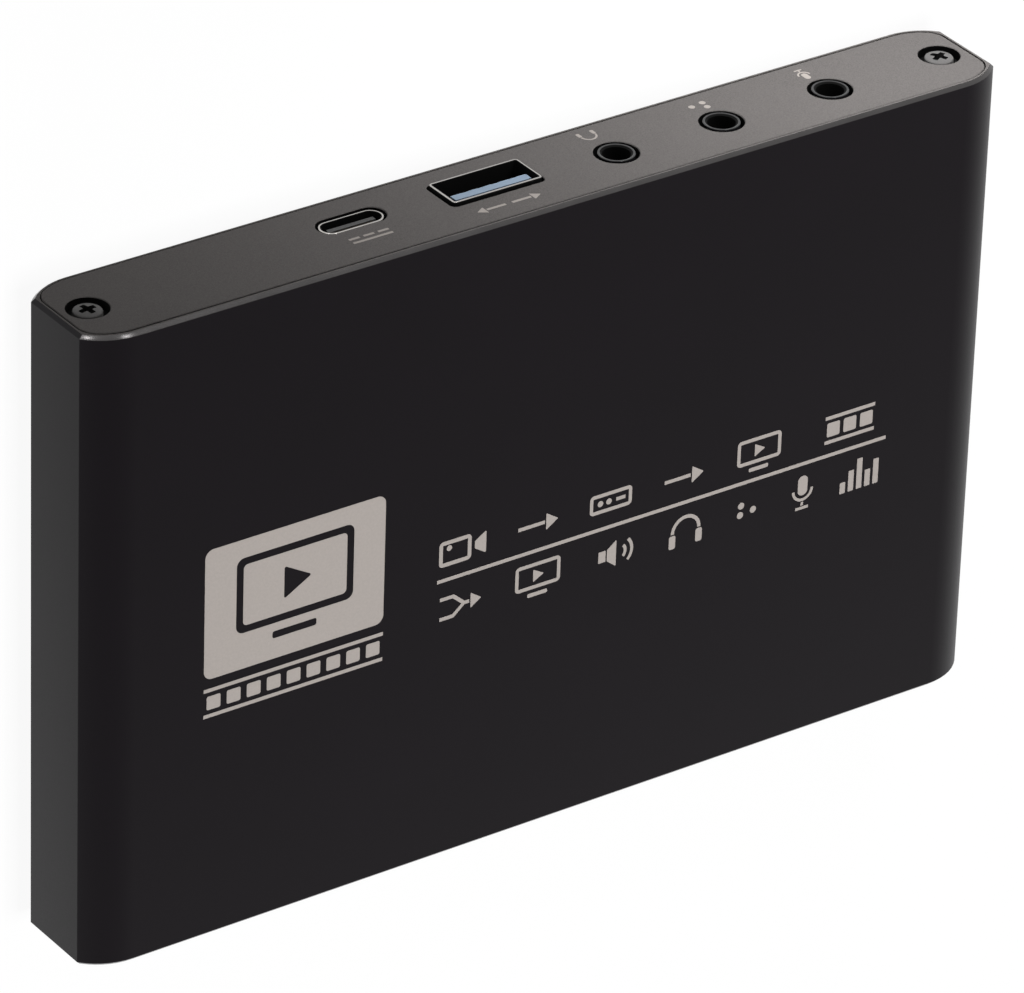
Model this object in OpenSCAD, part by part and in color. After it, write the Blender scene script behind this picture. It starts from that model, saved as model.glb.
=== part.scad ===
// Video capture box: an extruded case tube closed by two flush end plates.
// A circuit board slides in rails inside the tube, and its sockets stand in the plates.
// X runs along the wide face, +Y points out of the rear sockets, and +Z is the printed face.
// The origin is the centre of the face that the box rests on. Sizes are in millimetres.

/* [Case tube] */
// Width of the case across its narrow sides
case_w = 135; // [132:0.5:150]
// Length of the tube between its cut ends
case_l = 87.6; // [82:0.2:110]
// Height of the case between its wide faces
case_h = 16.4; // [16:0.1:19]
// Height of the flat narrow side
side_h = 10.7; // [10:0.1:12]
// How far a rounded edge runs in from the narrow side
edge_run = 6.3; // [5.5:0.1:7]
// Wall of the tube
wall = 1.4; // [1.2:0.05:1.6]
// Wall left round an end plate
lip = 0.7; // [0.6:0.05:0.9]
// Chamfer round both ends of the tube
rim_chamfer = 0.5; // [0.2:0.05:0.55]

/* [End plates] */
// Thickness of an end plate
plate_t = 2.2; // [2:0.1:3]
// Gap between an end plate and the lip round it
plate_gap = 0.2; // [0.1:0.02:0.3]
// Corner radius of an end plate
plate_corner_r = 1.4; // [0.8:0.1:2]

/* [Plate screws] */
// Screw axis in from the narrow side
screw_inset = 4.5; // [4.3:0.1:5.5]
// Diameter of the shank
screw_d = 2; // [1.6:0.1:2.4]
// Length of the shank
screw_l = 8; // [5:0.5:14]
// Diameter of the head
head_d = 4; // [3.4:0.1:4.4]
// Height of the head
head_h = 1.2; // [0.9:0.1:1.3]
// Depth of the head's top below the plate's face
head_sink = 0.1; // [0.1:0.05:0.4]
// Radius of the head's domed top
head_dome_r = 8; // [3:0.1:8]
// Length across the cross recess
recess_l = 2.3; // [1.6:0.1:2.6]
// Width of one arm of the cross recess
recess_w = 0.55; // [0.4:0.05:0.8]
// Depth of the cross recess
recess_depth = 0.7; // [0.4:0.05:0.8]
// Diameter of the counterbore in the plate
counterbore_d = 5.4; // [4.8:0.1:5.8]
// Outer diameter of the screw channel in the tube
channel_d = 4.6; // [4:0.1:5]

/* [Circuit board] */
// Thickness of the board
board_t = 1.6; // [1.2:0.1:1.8]
// Height of the board's underside above the base
board_z = 2.3; // [2.2:0.1:2.9]
// Gap between the board and its rails and plates
board_gap = 0.15; // [0.05:0.05:0.25]
// How far a rail reaches over the board's edge
rail_grip = 1.4; // [0.8:0.1:2]
// Thickness of a rail above the board
rail_t = 1; // [0.8:0.1:1.2]
// Side wall left behind a board slot
slot_wall = 2.7; // [2.5:0.1:3.2]

/* [Sockets] */
// Sheet thickness of a socket's shell
shell_t = 0.3; // [0.2:0.05:0.4]
// Gap between a shell and its hole in the plate
socket_gap = 0.35; // [0.15:0.05:0.4]
// Width of a shell's solder leg
leg_w = 1; // [0.6:0.1:1.2]
// Distance of a leg from the board's edge or the shell's end
leg_in = 1.2; // [0.9:0.1:1.4]
// How far legs and pins stand out under the board
leg_out = 0.5; // [0.2:0.1:0.7]
// Thickness of a contact strip
strip_t = 0.12; // [0.08:0.02:0.2]
// Length of a contact's foot on the board
foot_l = 0.8; // [0.4:0.1:1.2]
// Length of insulator behind a shell
insulator_back = 0.4; // [0.3:0.1:0.8]

/* [Power socket] */
// Distance of the power socket from the left side of the case
power_from_left = 43.1; // [37.5:0.1:45]
// Width of its shell
power_w = 8.94; // [8.6:0.02:9.2]
// Height of its shell
power_h = 3.26; // [3.1:0.02:3.6]
// Length of its shell
power_l = 7.4; // [7:0.1:9]
// Height of its shell above the board
power_lift = 0.7; // [0.4:0.01:1.5]
// Depth of its rim below the plate's face
power_sink = 0.2; // [0.1:0.05:0.6]
// Length of the insulator inside its shell
power_plug_l = 2; // [1.5:0.1:3]
// Width of its tongue
power_tongue_w = 6.7; // [6.4:0.05:7]
// Thickness of its tongue
power_tongue_t = 0.7; // [0.6:0.05:0.9]
// Depth of its tongue's tip behind the rim
power_tip = 0.4; // [0.3:0.1:1.6]
// Contacts on each face of its tongue
power_pins = 12; // [6:1:12]
// Spacing of its contacts
power_pitch = 0.5; // [0.4:0.05:0.54]
// Width of one of its contacts
power_pin_w = 0.25; // [0.15:0.05:0.3]

/* [Data socket] */
// Place of the data socket from the middle of the plate
data_x = -5.2; // [-8:0.1:-3]
// Width of its shell
data_w = 13.1; // [12.8:0.1:13.6]
// Height of its shell
data_h = 5.72; // [5.5:0.02:6.2]
// Length of its shell
data_l = 14.5; // [12:0.5:18]
// Height of its shell above the board
data_lift = 0.1; // [0.05:0.05:0.6]
// How far its shell stands out of the plate
data_proud = 0.4; // [0:0.05:0.8]
// Outer corner radius of its shell
data_corner_r = 0.5; // [0.5:0.05:1]
// Length of the insulator inside its shell
data_plug_l = 4; // [3:0.1:6]
// Width of its tongue
data_tongue_w = 11.1; // [10.5:0.1:11.5]
// Thickness of its tongue
data_tongue_t = 1.2; // [1:0.02:2]
// Gap above its tongue
data_tongue_gap = 0.8; // [0.4:0.05:0.9]
// Depth of its tongue's tip behind the rim
data_tip = 0.4; // [0.2:0.1:3]
// Place of the inner long contacts from the middle
data_pin_near = 1; // [0.8:0.1:1.2]
// Place of the outer long contacts from the middle
data_pin_far = 3.5; // [3.2:0.1:3.8]
// Width of a long contact
data_pin_w = 1; // [0.6:0.1:1.2]
// Start of the long contacts behind the rim
data_pin_start = 5; // [4.6:0.1:6]
// Width of a short front contact
data_pad_w = 0.5; // [0.3:0.05:0.7]
// Spacing of the short front contacts
data_pad_pitch = 2; // [1.8:0.05:2.2]
// Length of a short front contact
data_pad_l = 1.6; // [1:0.1:2]

/* [Audio jacks] */
// Distance of the headphone jack from the right side of the case
headphone_from_right = 54.4; // [51.5:0.05:56.5]
// Distance of the line jack from the right side of the case
line_from_right = 38.5; // [35.5:0.1:42.5]
// Distance of the microphone jack from the right side of the case
microphone_from_right = 21.8; // [19.5:0.1:25.5]
// Height of a jack's axis above the board
jack_axis = 4.65; // [4.2:0.05:5.2]
// Width of a jack's body
jack_w = 7.6; // [7:0.1:9]
// Length of a jack's body
jack_l = 11.5; // [10:0.5:14]
// Body above a jack's axis
jack_top = 3.4; // [3:0.1:3.8]
// Diameter of the nose in the plate
nose_d = 4.75; // [4.5:0.05:5]
// Diameter of the nose's hole in the plate
nose_hole_d = 5.8; // [5.3:0.05:6]
// Diameter of the plug's bore
jack_bore_d = 3.6; // [3.55:0.05:3.8]
// Length of the bore that guides the plug
jack_guide_l = 6; // [5:0.1:7]
// Lead-in at the mouth of the bore
jack_lead = 0.2; // [0.1:0.05:0.3]
// Diameter of the contact chamber behind the bore
chamber_d = 5.4; // [5.2:0.1:5.8]
// Wall at the back of the chamber
chamber_wall = 1; // [0.8:0.1:1.6]
// Width of a contact spring
spring_w = 1.4; // [1:0.1:1.8]
// Thickness of a contact spring
spring_t = 0.2; // [0.15:0.05:0.3]
// Gap between a contact spring and the plug's path
spring_gap = 0.2; // [0.1:0.05:0.3]
// Length of a spring's tail behind the body
tail_l = 0.8; // [0.6:0.1:1.2]

/* [Video sockets] */
// Distance of the first video input from the left side of the case
video_in_1_from_left = 22.5; // [17.5:0.5:25.5]
// Distance of the second video input from the left side of the case
video_in_2_from_left = 44.5; // [42.5:0.5:46.5]
// Place of the video output from the middle of the plate
video_out_x = 0; // [-4:0.5:4]
// Width of a video shell
video_w = 15; // [14.6:0.1:15.6]
// Height of a video shell
video_h = 5.55; // [5.4:0.05:6]
// Corner cut of a video shell, on the board's side
video_cut = 2; // [1.5:0.1:2.4]
// Length of a video shell
video_l = 11.6; // [10:0.1:14]
// Height of a video shell above the board
video_lift = 0.2; // [0.1:0.05:0.6]
// How far a video shell stands out of the plate
video_proud = 0.3; // [0:0.05:0.8]
// Length of the insulator inside a video shell
video_plug_l = 3; // [2:0.1:5]
// Width of a video tongue
video_tongue_w = 11.2; // [10.8:0.1:11.6]
// Thickness of a video tongue
video_tongue_t = 1.3; // [1:0.05:1.6]
// Depth of a video tongue's tip behind the rim
video_tip = 1.2; // [0.8:0.1:2]
// Contacts on a video tongue, on both faces together
video_pins = 19; // [9:2:19]
// Spacing of the video contacts from one face to the other
video_pitch = 0.5; // [0.45:0.01:0.55]
// Width of a video contact
video_pin_w = 0.3; // [0.2:0.05:0.35]

/* [Select button] */
// Distance of the button from the right side of the case
button_from_right = 45.5; // [41.5:0.5:47.5]
// Diameter of the button
button_d = 4.6; // [4:0.1:6]
// How far the button stands out of the plate
button_proud = 1; // [0.6:0.1:2]
// Chamfer round the button's face
button_chamfer = 0.3; // [0.1:0.05:0.5]
// Gap between the button and its hole
button_gap = 0.2; // [0.15:0.05:0.3]
// Diameter of the button's flange
flange_d = 6.8; // [6.4:0.1:7.5]
// Thickness of the button's flange
flange_t = 0.8; // [0.6:0.1:1.2]

/* [Push switch] */
// Width of the switch housing
switch_w = 6.2; // [6:0.1:7]
// Length of the switch housing
switch_l = 3.4; // [3:0.1:4.5]
// Thickness of the sheet cover in front of the housing
cover_t = 0.3; // [0.2:0.05:0.4]
// Diameter of the plunger
plunger_d = 2.4; // [2:0.1:3]
// Length of plunger between the button and the cover
plunger_out = 1.2; // [0.8:0.1:1.6]
// Radial gap round the plunger in the cover
plunger_gap = 0.2; // [0.15:0.05:0.3]
// Diameter of the plunger's collar inside the housing
collar_d = 4; // [3.6:0.1:4.2]
// Thickness of the plunger's collar
collar_t = 0.8; // [0.6:0.1:1]
// Diameter of the plunger's nub on the snap dome
nub_d = 1.6; // [1.2:0.1:2]
// Diameter of the chamber in the housing
switch_bore_d = 4.7; // [4.6:0.1:5]
// Depth of the chamber in the housing
switch_bore_l = 2.4; // [2.2:0.1:2.6]
// Diameter of the snap dome
dome_d = 4; // [3.6:0.1:4.4]
// Height of the snap dome
dome_h = 0.7; // [0.5:0.05:0.9]
// Thickness of the snap dome
dome_t = 0.12; // [0.08:0.02:0.16]
// Width of a switch pin
pin_w = 0.6; // [0.4:0.1:0.8]
// Spacing of the switch pins
pin_pitch = 4.5; // [4:0.1:5]

/* [Indicator lights] */
// Distance of the first light from the right side of the case
light_from_right = 31.5; // [27.5:0.5:33.5]
// Spacing of the lights
light_pitch = 5; // [4:0.5:6]
// Number of lights
light_count = 3; // [1:1:4]
// Diameter of a light's window
light_d = 1.9; // [1.5:0.1:2.5]
// How far a window stands out of the plate
light_proud = 0.2; // [0:0.05:0.4]
// Thickness of the moulded bar behind the plate
bar_t = 1.8; // [1.4:0.1:2.4]
// Height of the moulded bar behind the plate
bar_h = 2.6; // [2.4:0.1:3]
// Width of a lamp chip
led_w = 1.6; // [1:0.1:2]
// Depth of a lamp chip
led_l = 0.8; // [0.5:0.1:1.2]
// Height of a lamp chip
led_h = 0.7; // [0.5:0.1:1]
// Gap between a lamp chip and the leg of the bar over it
led_gap = 0.2; // [0.1:0.05:0.3]

/* [Chips] */
// Place of the capture chip on the board
capture_pos = [6, -2]; // [-4:0.5:8]
// Side of the capture chip
capture_side = 14; // [10:0.5:18]
// Height of the capture chip
capture_h = 1.3; // [0.9:0.1:1.8]
// Thickness of the thermal pad
pad_t = 0.5; // [0.3:0.1:1]
// Side of the heat sink
sink_side = 22; // [18:0.5:26]
// Thickness of the heat sink's base
sink_base_t = 1.4; // [1:0.1:2]
// Height of the heat sink's fins
fin_h = 3.6; // [2:0.1:4.5]
// Thickness of a fin
fin_t = 0.8; // [0.6:0.1:1.2]
// Number of fins
fin_count = 8; // [4:1:10]
// Distance of the video switch chip from the left side of the case
video_switch_from_left = 41.5; // [39.5:0.5:55.5]
// Place of the video switch chip along the board
video_switch_y = -14; // [-16:0.5:-12]
// Side of the video switch chip
video_switch_side = 10; // [7:0.5:14]
// Distance of the audio chip from the right side of the case
audio_from_right = 31.5; // [27.5:0.5:33.5]
// Place of the audio chip along the board
audio_y = 18; // [16:0.5:20]
// Side of the audio chip
audio_side = 7; // [5:0.5:9]
// Height of the video switch chip and the audio chip
flat_chip_h = 1.2; // [0.8:0.1:1.6]
// Place of the firmware chip on the board
firmware_pos = [28, -8]; // [-10:0.5:40]
// Width of the firmware chip
firmware_w = 5; // [4:0.1:6]
// Length of the firmware chip
firmware_l = 4; // [3.6:0.1:5.5]
// Height of the firmware chip
firmware_h = 1.6; // [1.2:0.1:2]
// Place of the memory chip on the board
memory_pos = [-14, 6]; // [-16:0.5:8]
// Width of the memory chip
memory_w = 8; // [6:0.5:10]
// Length of the memory chip
memory_l = 12; // [8:0.5:14]
// Height of the memory chip
memory_h = 1; // [0.8:0.1:1.4]
// Spacing of the leads on a leaded chip
lead_pitch = 0.8; // [0.6:0.1:1]
// Width of a chip's lead
lead_w = 0.3; // [0.2:0.05:0.4]
// Length of a chip's lead
lead_l = 1; // [0.6:0.1:1.2]
// Thickness of a chip's lead
lead_t = 0.15; // [0.1:0.05:0.25]

/* [Passive parts] */
// Place of the crystal on the board
crystal_pos = [25, 6]; // [4:0.5:26]
// Length of the crystal's can
crystal_l = 10; // [8:0.5:11.5]
// Width of the crystal's can
crystal_w = 4.2; // [3.6:0.1:4.8]
// Height of the crystal's can
crystal_h = 3.4; // [2.5:0.1:4.5]
// Distance of the first power inductor from the left side of the case
inductor_from_left = 17.5; // [15.5:0.5:20]
// Place of the power inductors along the board
inductor_y = 18; // [16:0.5:20]
// Spacing of the power inductors
inductor_pitch = 10; // [8:0.5:11]
// Number of power inductors
inductor_count = 3; // [1:1:3]
// Side of a power inductor
inductor_side = 6; // [4:0.5:7]
// Cut corners of a power inductor
inductor_cut = 0.6; // [0.2:0.1:1]
// Height of a power inductor
inductor_h = 3; // [2:0.1:4.5]
// Distance of the first bulk capacitor from the left side of the case
bulk_from_left = 13.5; // [12.5:0.5:16]
// Place of the bulk capacitors along the board
bulk_y = -2; // [-4:0.5:4]
// Spacing of the bulk capacitors
bulk_pitch = 7.5; // [7:0.5:9]
// Number of bulk capacitors
bulk_count = 4; // [1:1:4]
// Diameter of a bulk capacitor's can
bulk_d = 5; // [4:0.1:6.3]
// Height of a bulk capacitor
bulk_h = 5.4; // [4.5:0.1:6.5]
// Side of a bulk capacitor's foot
bulk_foot = 5.3; // [5:0.1:6.6]
// Thickness of a bulk capacitor's foot
bulk_foot_t = 0.8; // [0.5:0.1:1.2]
// Number of ceramic capacitors in a row
ceramic_count = 8; // [4:1:10]
// Spacing of the ceramic capacitors
ceramic_pitch = 2.4; // [2:0.1:3]
// Gap between a row of ceramic capacitors and the heat sink's edge
ceramic_gap = 1.5; // [0.5:0.1:3]
// Width of a ceramic capacitor
ceramic_w = 1; // [0.6:0.1:1.6]
// Length of a ceramic capacitor
ceramic_l = 1.8; // [1:0.1:2.4]
// Height of a ceramic capacitor
ceramic_h = 0.9; // [0.5:0.1:1.4]

/* [Hidden] */
$fn = 64;

// How far a cutter runs past the face it cuts
over = 0.5;
// Clearance of a close fit
fit_gap = 0.05;
// Clearance of a leg or pin in the board, and of a screw in a plate
hole_gap = 0.15;

rear_y = case_l / 2;
mid_z = case_h / 2;
edge_rise = (case_h - side_h) / 2;
edge_r = (edge_run * edge_run + edge_rise * edge_rise) / (2 * edge_rise);
edge_cx = case_w / 2 - edge_run;
screw_x = case_w / 2 - screw_inset;
board_top = board_z + board_t;
board_w = case_w - 2 * (slot_wall + board_gap);
board_l = case_l - 2 * (plate_t + board_gap);
// Distance of the board's edge behind a plate's outer face
board_edge = plate_t + board_gap;
rail_x = board_w / 2 - rail_grip;

power_x = from_left(power_from_left);
headphone_x = from_right(headphone_from_right);
line_x = from_right(line_from_right);
microphone_x = from_right(microphone_from_right);
video_in_1_x = from_left(video_in_1_from_left);
video_in_2_x = from_left(video_in_2_from_left);
button_x = from_right(button_from_right);
light_x = from_right(light_from_right);
video_switch_pos = [from_left(video_switch_from_left), video_switch_y];
audio_pos = [from_right(audio_from_right), audio_y];
inductor_pos = [from_left(inductor_from_left), inductor_y];
bulk_pos = [from_left(bulk_from_left), bulk_y];

power_mid = power_lift + power_h / 2;
power_inner = shell_t + fit_gap;
data_mid = data_lift + data_h / 2;
data_tongue_top = data_lift + data_h - shell_t - data_tongue_gap;
data_pin_places = [for (s = [-1, 1], x = [data_pin_near, data_pin_far]) s * x];
data_pad_places = [for (i = [-2:2]) i * data_pad_pitch];
video_mid = video_lift + video_h / 2;
// How far a 45 degree corner cut grows for each millimetre that its outline is drawn in
corner_shift = sqrt(2) - 1;

// Height of the button's and lights' axes above the board
button_axis = mid_z - board_top;
flange_back = plate_t + fit_gap + flange_t;
cover_front = flange_back + plunger_out;
housing_front = cover_front + cover_t;
housing_back = housing_front + switch_l;
dome_seat = housing_front + switch_bore_l;
dome_r = (dome_d * dome_d / 4 + dome_h * dome_h) / (2 * dome_h);
light_places = [for (i = [0:light_count - 1]) light_x + i * light_pitch];
bar_front = plate_t + fit_gap;
jack_front = plate_t + board_gap;
jack_back = jack_front + jack_l;
spring_r = jack_bore_d / 2 + spring_gap;

// Place along X at a distance in from a narrow side of the case
function from_left(d) = d - case_w / 2;
function from_right(d) = case_w / 2 - d;

// Height at which the rounded edge, drawn in by an inset, meets the side drawn in as far
function corner_z(inset) =
    edge_r - sqrt(pow(edge_r - inset, 2) - pow(case_w / 2 - inset - edge_cx, 2));

// Places of a socket's legs behind its rim, for its shell's length and how far it stands out
function leg_rows(l, proud) = [-(board_edge + proud + leg_in), -(l - leg_in)];

// Outline of a video shell drawn in by an inset
function video_points(inset) =
    let (x = video_w / 2 - inset, z = video_h / 2 - inset, cut = video_cut + corner_shift * inset)
    [
        [-x, z], [x, z],
        [x, -video_h / 2 + cut], [video_w / 2 - cut, -z],
        [-video_w / 2 + cut, -z], [-x, -video_h / 2 + cut]
    ];

// Flat helpers

module stadium(w, h) {
    square([w - h, h], center = true);
    for (s = [-1, 1])
        translate([s * (w - h) / 2, 0]) circle(d = h);
}

module rounded_rectangle(w, h, r) {
    square([w - 2 * r, h], center = true);
    square([w, h - 2 * r], center = true);
    for (sx = [-1, 1], sy = [-1, 1])
        translate([sx * (w / 2 - r), sy * (h / 2 - r)]) circle(r);
}

// Rectangle of half sizes a and b with its corners cut at 45 degrees
module cut_rectangle(a, b, cut) {
    polygon([
        [-a + cut, -b], [a - cut, -b], [a, -b + cut], [a, b - cut],
        [a - cut, b], [-a + cut, b], [-a, b - cut], [-a, -b + cut]
    ]);
}

// What the rounded lower right edge of the case takes off a square corner
module edge_waste(inset) {
    difference() {
        translate([edge_cx, inset - over])
            square([edge_run + over, corner_z(inset) - inset + 2 * over]);
        translate([edge_cx, edge_r]) circle(edge_r - inset);
    }
}

// What a corner radius takes off where the rounded edge meets the side
module corner_waste(inset, r) {
    x = case_w / 2 - inset - r;
    z = edge_r - sqrt(pow(edge_r - inset - r, 2) - pow(x - edge_cx, 2));
    along = [x - edge_cx, z - edge_r] / (edge_r - inset - r);
    reach = 2 * r;
    translate([x, z]) difference() {
        polygon([[0, 0], [reach, 0], reach * ([1, 0] + along), reach * along]);
        circle(r);
    }
}

// Outline of the case drawn in by an inset, in X and Z
module case_outline(inset, corner_r = 0) {
    half_w = case_w / 2 - inset;
    difference() {
        translate([-half_w, inset]) square([2 * half_w, case_h - 2 * inset]);
        for (side = [0, 1], top = [0, 1])
            translate([0, top * case_h]) mirror([0, top]) mirror([side, 0]) {
                edge_waste(inset);
                if (corner_r > 0) corner_waste(inset, corner_r);
            }
    }
}

// Solid helpers

// Runs an outline drawn in X and Z along Y
module along_y(y0, y1) {
    translate([0, y1, 0]) rotate([90, 0, 0]) linear_extrude(y1 - y0) children();
}

// Turns a profile of radius and Y about the Y axis
module turned(profile) {
    rotate([-90, 0, 0]) rotate_extrude() polygon(profile);
}

// A block centred on X, given by its span along Y and Z
module block(w, y0, y1, z0, z1) {
    translate([-w / 2, y0, z0]) cube([w, y1 - y0, z1 - z0]);
}

// Places a piece that faces out of the rear plate: its rim at Y 0 and the board's face at Z 0
module at_rear(x, proud = 0) {
    translate([x, rear_y + proud, board_top]) children();
}

// The same at the front plate, turned to face the other way
module at_front(x, proud = 0) {
    rotate([0, 0, 180]) translate([-x, rear_y + proud, board_top]) children();
}

// The case as a solid bar with both ends chamfered
module case_bar() {
    rim_top = corner_z(rim_chamfer) + over;
    difference() {
        intersection() {
            linear_extrude(case_h) cut_rectangle(case_w / 2, rear_y, rim_chamfer);
            translate([-case_w / 2, 0, mid_z]) rotate([90, 0, 90])
                linear_extrude(case_w) cut_rectangle(rear_y, mid_z, rim_chamfer);
        }
        for (side = [0, 1], top = [0, 1])
            translate([0, 0, top * case_h]) mirror([0, 0, top]) mirror([side, 0, 0]) difference() {
                translate([edge_cx, -rear_y - over, -over])
                    cube([edge_run + over, case_l + 2 * over, rim_top + over]);
                translate([edge_cx, 0, edge_r]) turned([
                    [0, -rear_y], [edge_r - rim_chamfer, -rear_y], [edge_r, -rear_y + rim_chamfer],
                    [edge_r, rear_y - rim_chamfer], [edge_r - rim_chamfer, rear_y], [0, rear_y]
                ]);
            }
    }
}

// Rails that hold the board's edges and the screw channels above them, in X and Z
module rails_and_channels() {
    slot_top = board_top + board_gap;
    slot_end = board_w / 2 + board_gap;
    channel_foot = slot_top + rail_t / 2;
    for (side = [0, 1]) mirror([side, 0]) {
        difference() {
            translate([rail_x, 0]) square([case_w / 2 - rail_x, slot_top + rail_t]);
            translate([rail_x - over, board_z - board_gap])
                square([slot_end - rail_x + over, board_t + 2 * board_gap]);
        }
        translate([screw_x, mid_z]) circle(d = channel_d);
        translate([screw_x, channel_foot]) square([screw_inset, mid_z + channel_d / 2 - channel_foot]);
    }
}

module case_tube() {
    inside_y = rear_y - plate_t + over;
    color("#232124") difference() {
        case_bar();
        for (end = [0, 1]) mirror([0, end, 0])
            along_y(rear_y - plate_t, rear_y + over) case_outline(lip, plate_corner_r + plate_gap);
        along_y(-inside_y, inside_y) {
            difference() {
                case_outline(wall);
                rails_and_channels();
            }
            for (sx = [-1, 1])
                translate([sx * screw_x, mid_z]) circle(d = screw_d + 2 * fit_gap);
        }
    }
}

// A plate at the rear with its two screw holes; children are cut out of it
module end_plate() {
    difference() {
        along_y(rear_y - plate_t, rear_y) case_outline(lip + plate_gap, plate_corner_r);
        for (sx = [-1, 1]) translate([sx * screw_x, 0, mid_z]) {
            along_y(rear_y - plate_t - over, rear_y + over) circle(d = screw_d + 2 * hole_gap);
            along_y(rear_y - head_sink - head_h, rear_y + over) circle(d = counterbore_d);
        }
        children();
    }
}

// A hole through a plate, drawn about a point above the board, for a piece that faces out of it
module plate_hole(z) {
    translate([0, 0, z]) along_y(-plate_t - over, over) children();
}

module rear_plate() {
    color("#7d7a77") end_plate() {
        at_rear(power_x) plate_hole(power_mid) stadium(power_w + 2 * socket_gap, power_h + 2 * socket_gap);
        at_rear(data_x) plate_hole(data_mid)
            rounded_rectangle(data_w + 2 * socket_gap, data_h + 2 * socket_gap, data_corner_r + socket_gap);
        for (x = [headphone_x, line_x, microphone_x])
            at_rear(x) plate_hole(jack_axis) circle(d = nose_hole_d);
    }
}

module front_plate() {
    color("#7d7a77") difference() {
        rotate([0, 0, 180]) end_plate();
        for (x = [video_in_1_x, video_in_2_x, video_out_x])
            at_front(x) plate_hole(video_mid) polygon(video_points(-socket_gap));
        at_front(button_x) plate_hole(button_axis) circle(d = button_d + 2 * button_gap);
        for (x = light_places)
            at_front(x) plate_hole(button_axis) circle(d = light_d + 2 * fit_gap);
    }
}

// A pan-head screw with its axis along Y and the top of its head at Y 0
module screw() {
    difference() {
        union() {
            along_y(-head_h - screw_l, -head_h / 2) circle(d = screw_d);
            intersection() {
                along_y(-head_h, 0) circle(d = head_d);
                translate([0, -head_dome_r, 0]) sphere(head_dome_r, $fn = 96);
            }
        }
        for (turn = [0, 90]) rotate([0, turn, 0])
            block(recess_l, -recess_depth, over, -recess_w / 2, recess_w / 2);
    }
}

module plate_screws() {
    color("#1c1b1c") for (end = [0, 180], sx = [-1, 1])
        rotate([0, 0, end]) translate([sx * screw_x, rear_y - head_sink, mid_z]) screw();
}

// Solder legs of a shell, down through the board
module legs(width, rows, top) {
    for (s = [-1, 1], y = rows)
        translate([s * (width - shell_t) / 2, y, 0])
            block(shell_t, -leg_w / 2, leg_w / 2, -board_t - leg_out, top);
}

// Slots in the board for a shell's legs
module leg_slots(width, rows) {
    for (s = [-1, 1], y = rows)
        translate([s * (width - shell_t) / 2, y, 0])
            block(shell_t + 2 * hole_gap, -leg_w / 2 - hole_gap, leg_w / 2 + hole_gap, -board_t - over, over);
}

// A contact strip above or below a tongue, through the insulator and down behind it to the board
module contact(x, w, tip, back, z) {
    translate([x, 0, 0]) {
        block(w, -back - strip_t, -tip, z, z + strip_t);
        block(w, -back - strip_t, -back, 0, z + strip_t);
        block(w, -back - strip_t - foot_l, -back, 0, strip_t);
    }
}

// The groove and slot that a contact strip takes in an insulator
module contact_groove(x, w, back, z) {
    translate([x, 0, 0])
        block(w + 2 * fit_gap, -back - over, 0, z - fit_gap, z + strip_t + fit_gap);
}

module power_socket_shell() {
    color("#c9c7c4") at_rear(power_x, -power_sink) {
        translate([0, 0, power_mid]) along_y(-power_l, 0) difference() {
            stadium(power_w, power_h);
            stadium(power_w - 2 * shell_t, power_h - 2 * shell_t);
        }
        legs(power_w, leg_rows(power_l, -power_sink), power_mid);
    }
}

module power_socket_insulator() {
    foot_w = power_w - power_h;
    back = -power_l - insulator_back;
    color("#1b1b1d") at_rear(power_x, -power_sink) {
        translate([0, 0, power_mid]) along_y(back, -power_l + power_plug_l)
            stadium(power_w - 2 * power_inner, power_h - 2 * power_inner);
        block(foot_w, back, -power_l - fit_gap, 0, power_mid);
        block(foot_w, back, -board_edge, 0, power_lift - fit_gap);
        block(
            power_tongue_w, -power_l + power_plug_l - over, -power_tip,
            power_mid - power_tongue_t / 2, power_mid + power_tongue_t / 2
        );
    }
}

module power_socket_contacts() {
    color("#c8a24a") at_rear(power_x, -power_sink)
        for (i = [0:power_pins - 1], face = [0, 1])
            translate([(i - (power_pins - 1) / 2) * power_pitch, 0, power_mid]) mirror([0, 0, face])
                block(
                    power_pin_w, -power_l + power_plug_l, -power_tip - power_pin_w,
                    power_tongue_t / 2, power_tongue_t / 2 + strip_t
                );
}

module data_socket_shell() {
    color("#c9c7c4") at_rear(data_x, data_proud) {
        translate([0, 0, data_mid]) along_y(-data_l, 0) difference() {
            rounded_rectangle(data_w, data_h, data_corner_r);
            rounded_rectangle(data_w - 2 * shell_t, data_h - 2 * shell_t, data_corner_r - shell_t);
        }
        legs(data_w, leg_rows(data_l, data_proud), data_mid);
    }
}

module data_socket_insulator() {
    inner = shell_t + fit_gap;
    color("#5b86ad") at_rear(data_x, data_proud) difference() {
        union() {
            translate([0, 0, data_mid]) along_y(-data_l - insulator_back, -data_l + data_plug_l)
                rounded_rectangle(data_w - 2 * inner, data_h - 2 * inner, data_corner_r - shell_t);
            block(
                data_tongue_w, -data_l + data_plug_l - over, -data_tip,
                data_tongue_top - data_tongue_t, data_tongue_top
            );
        }
        for (x = data_pin_places)
            contact_groove(x, data_pin_w, data_l + insulator_back, data_tongue_top - data_tongue_t - strip_t);
    }
}

module data_socket_contacts() {
    under = data_tongue_top - data_tongue_t - strip_t;
    color("#c8a24a") at_rear(data_x, data_proud) {
        for (x = data_pin_places)
            contact(x, data_pin_w, data_pin_start, data_l + insulator_back, under);
        for (x = data_pad_places) translate([x, -data_tip - data_pad_w, 0])
            block(data_pad_w, -data_pad_l, 0, under, under + strip_t);
    }
}

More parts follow.
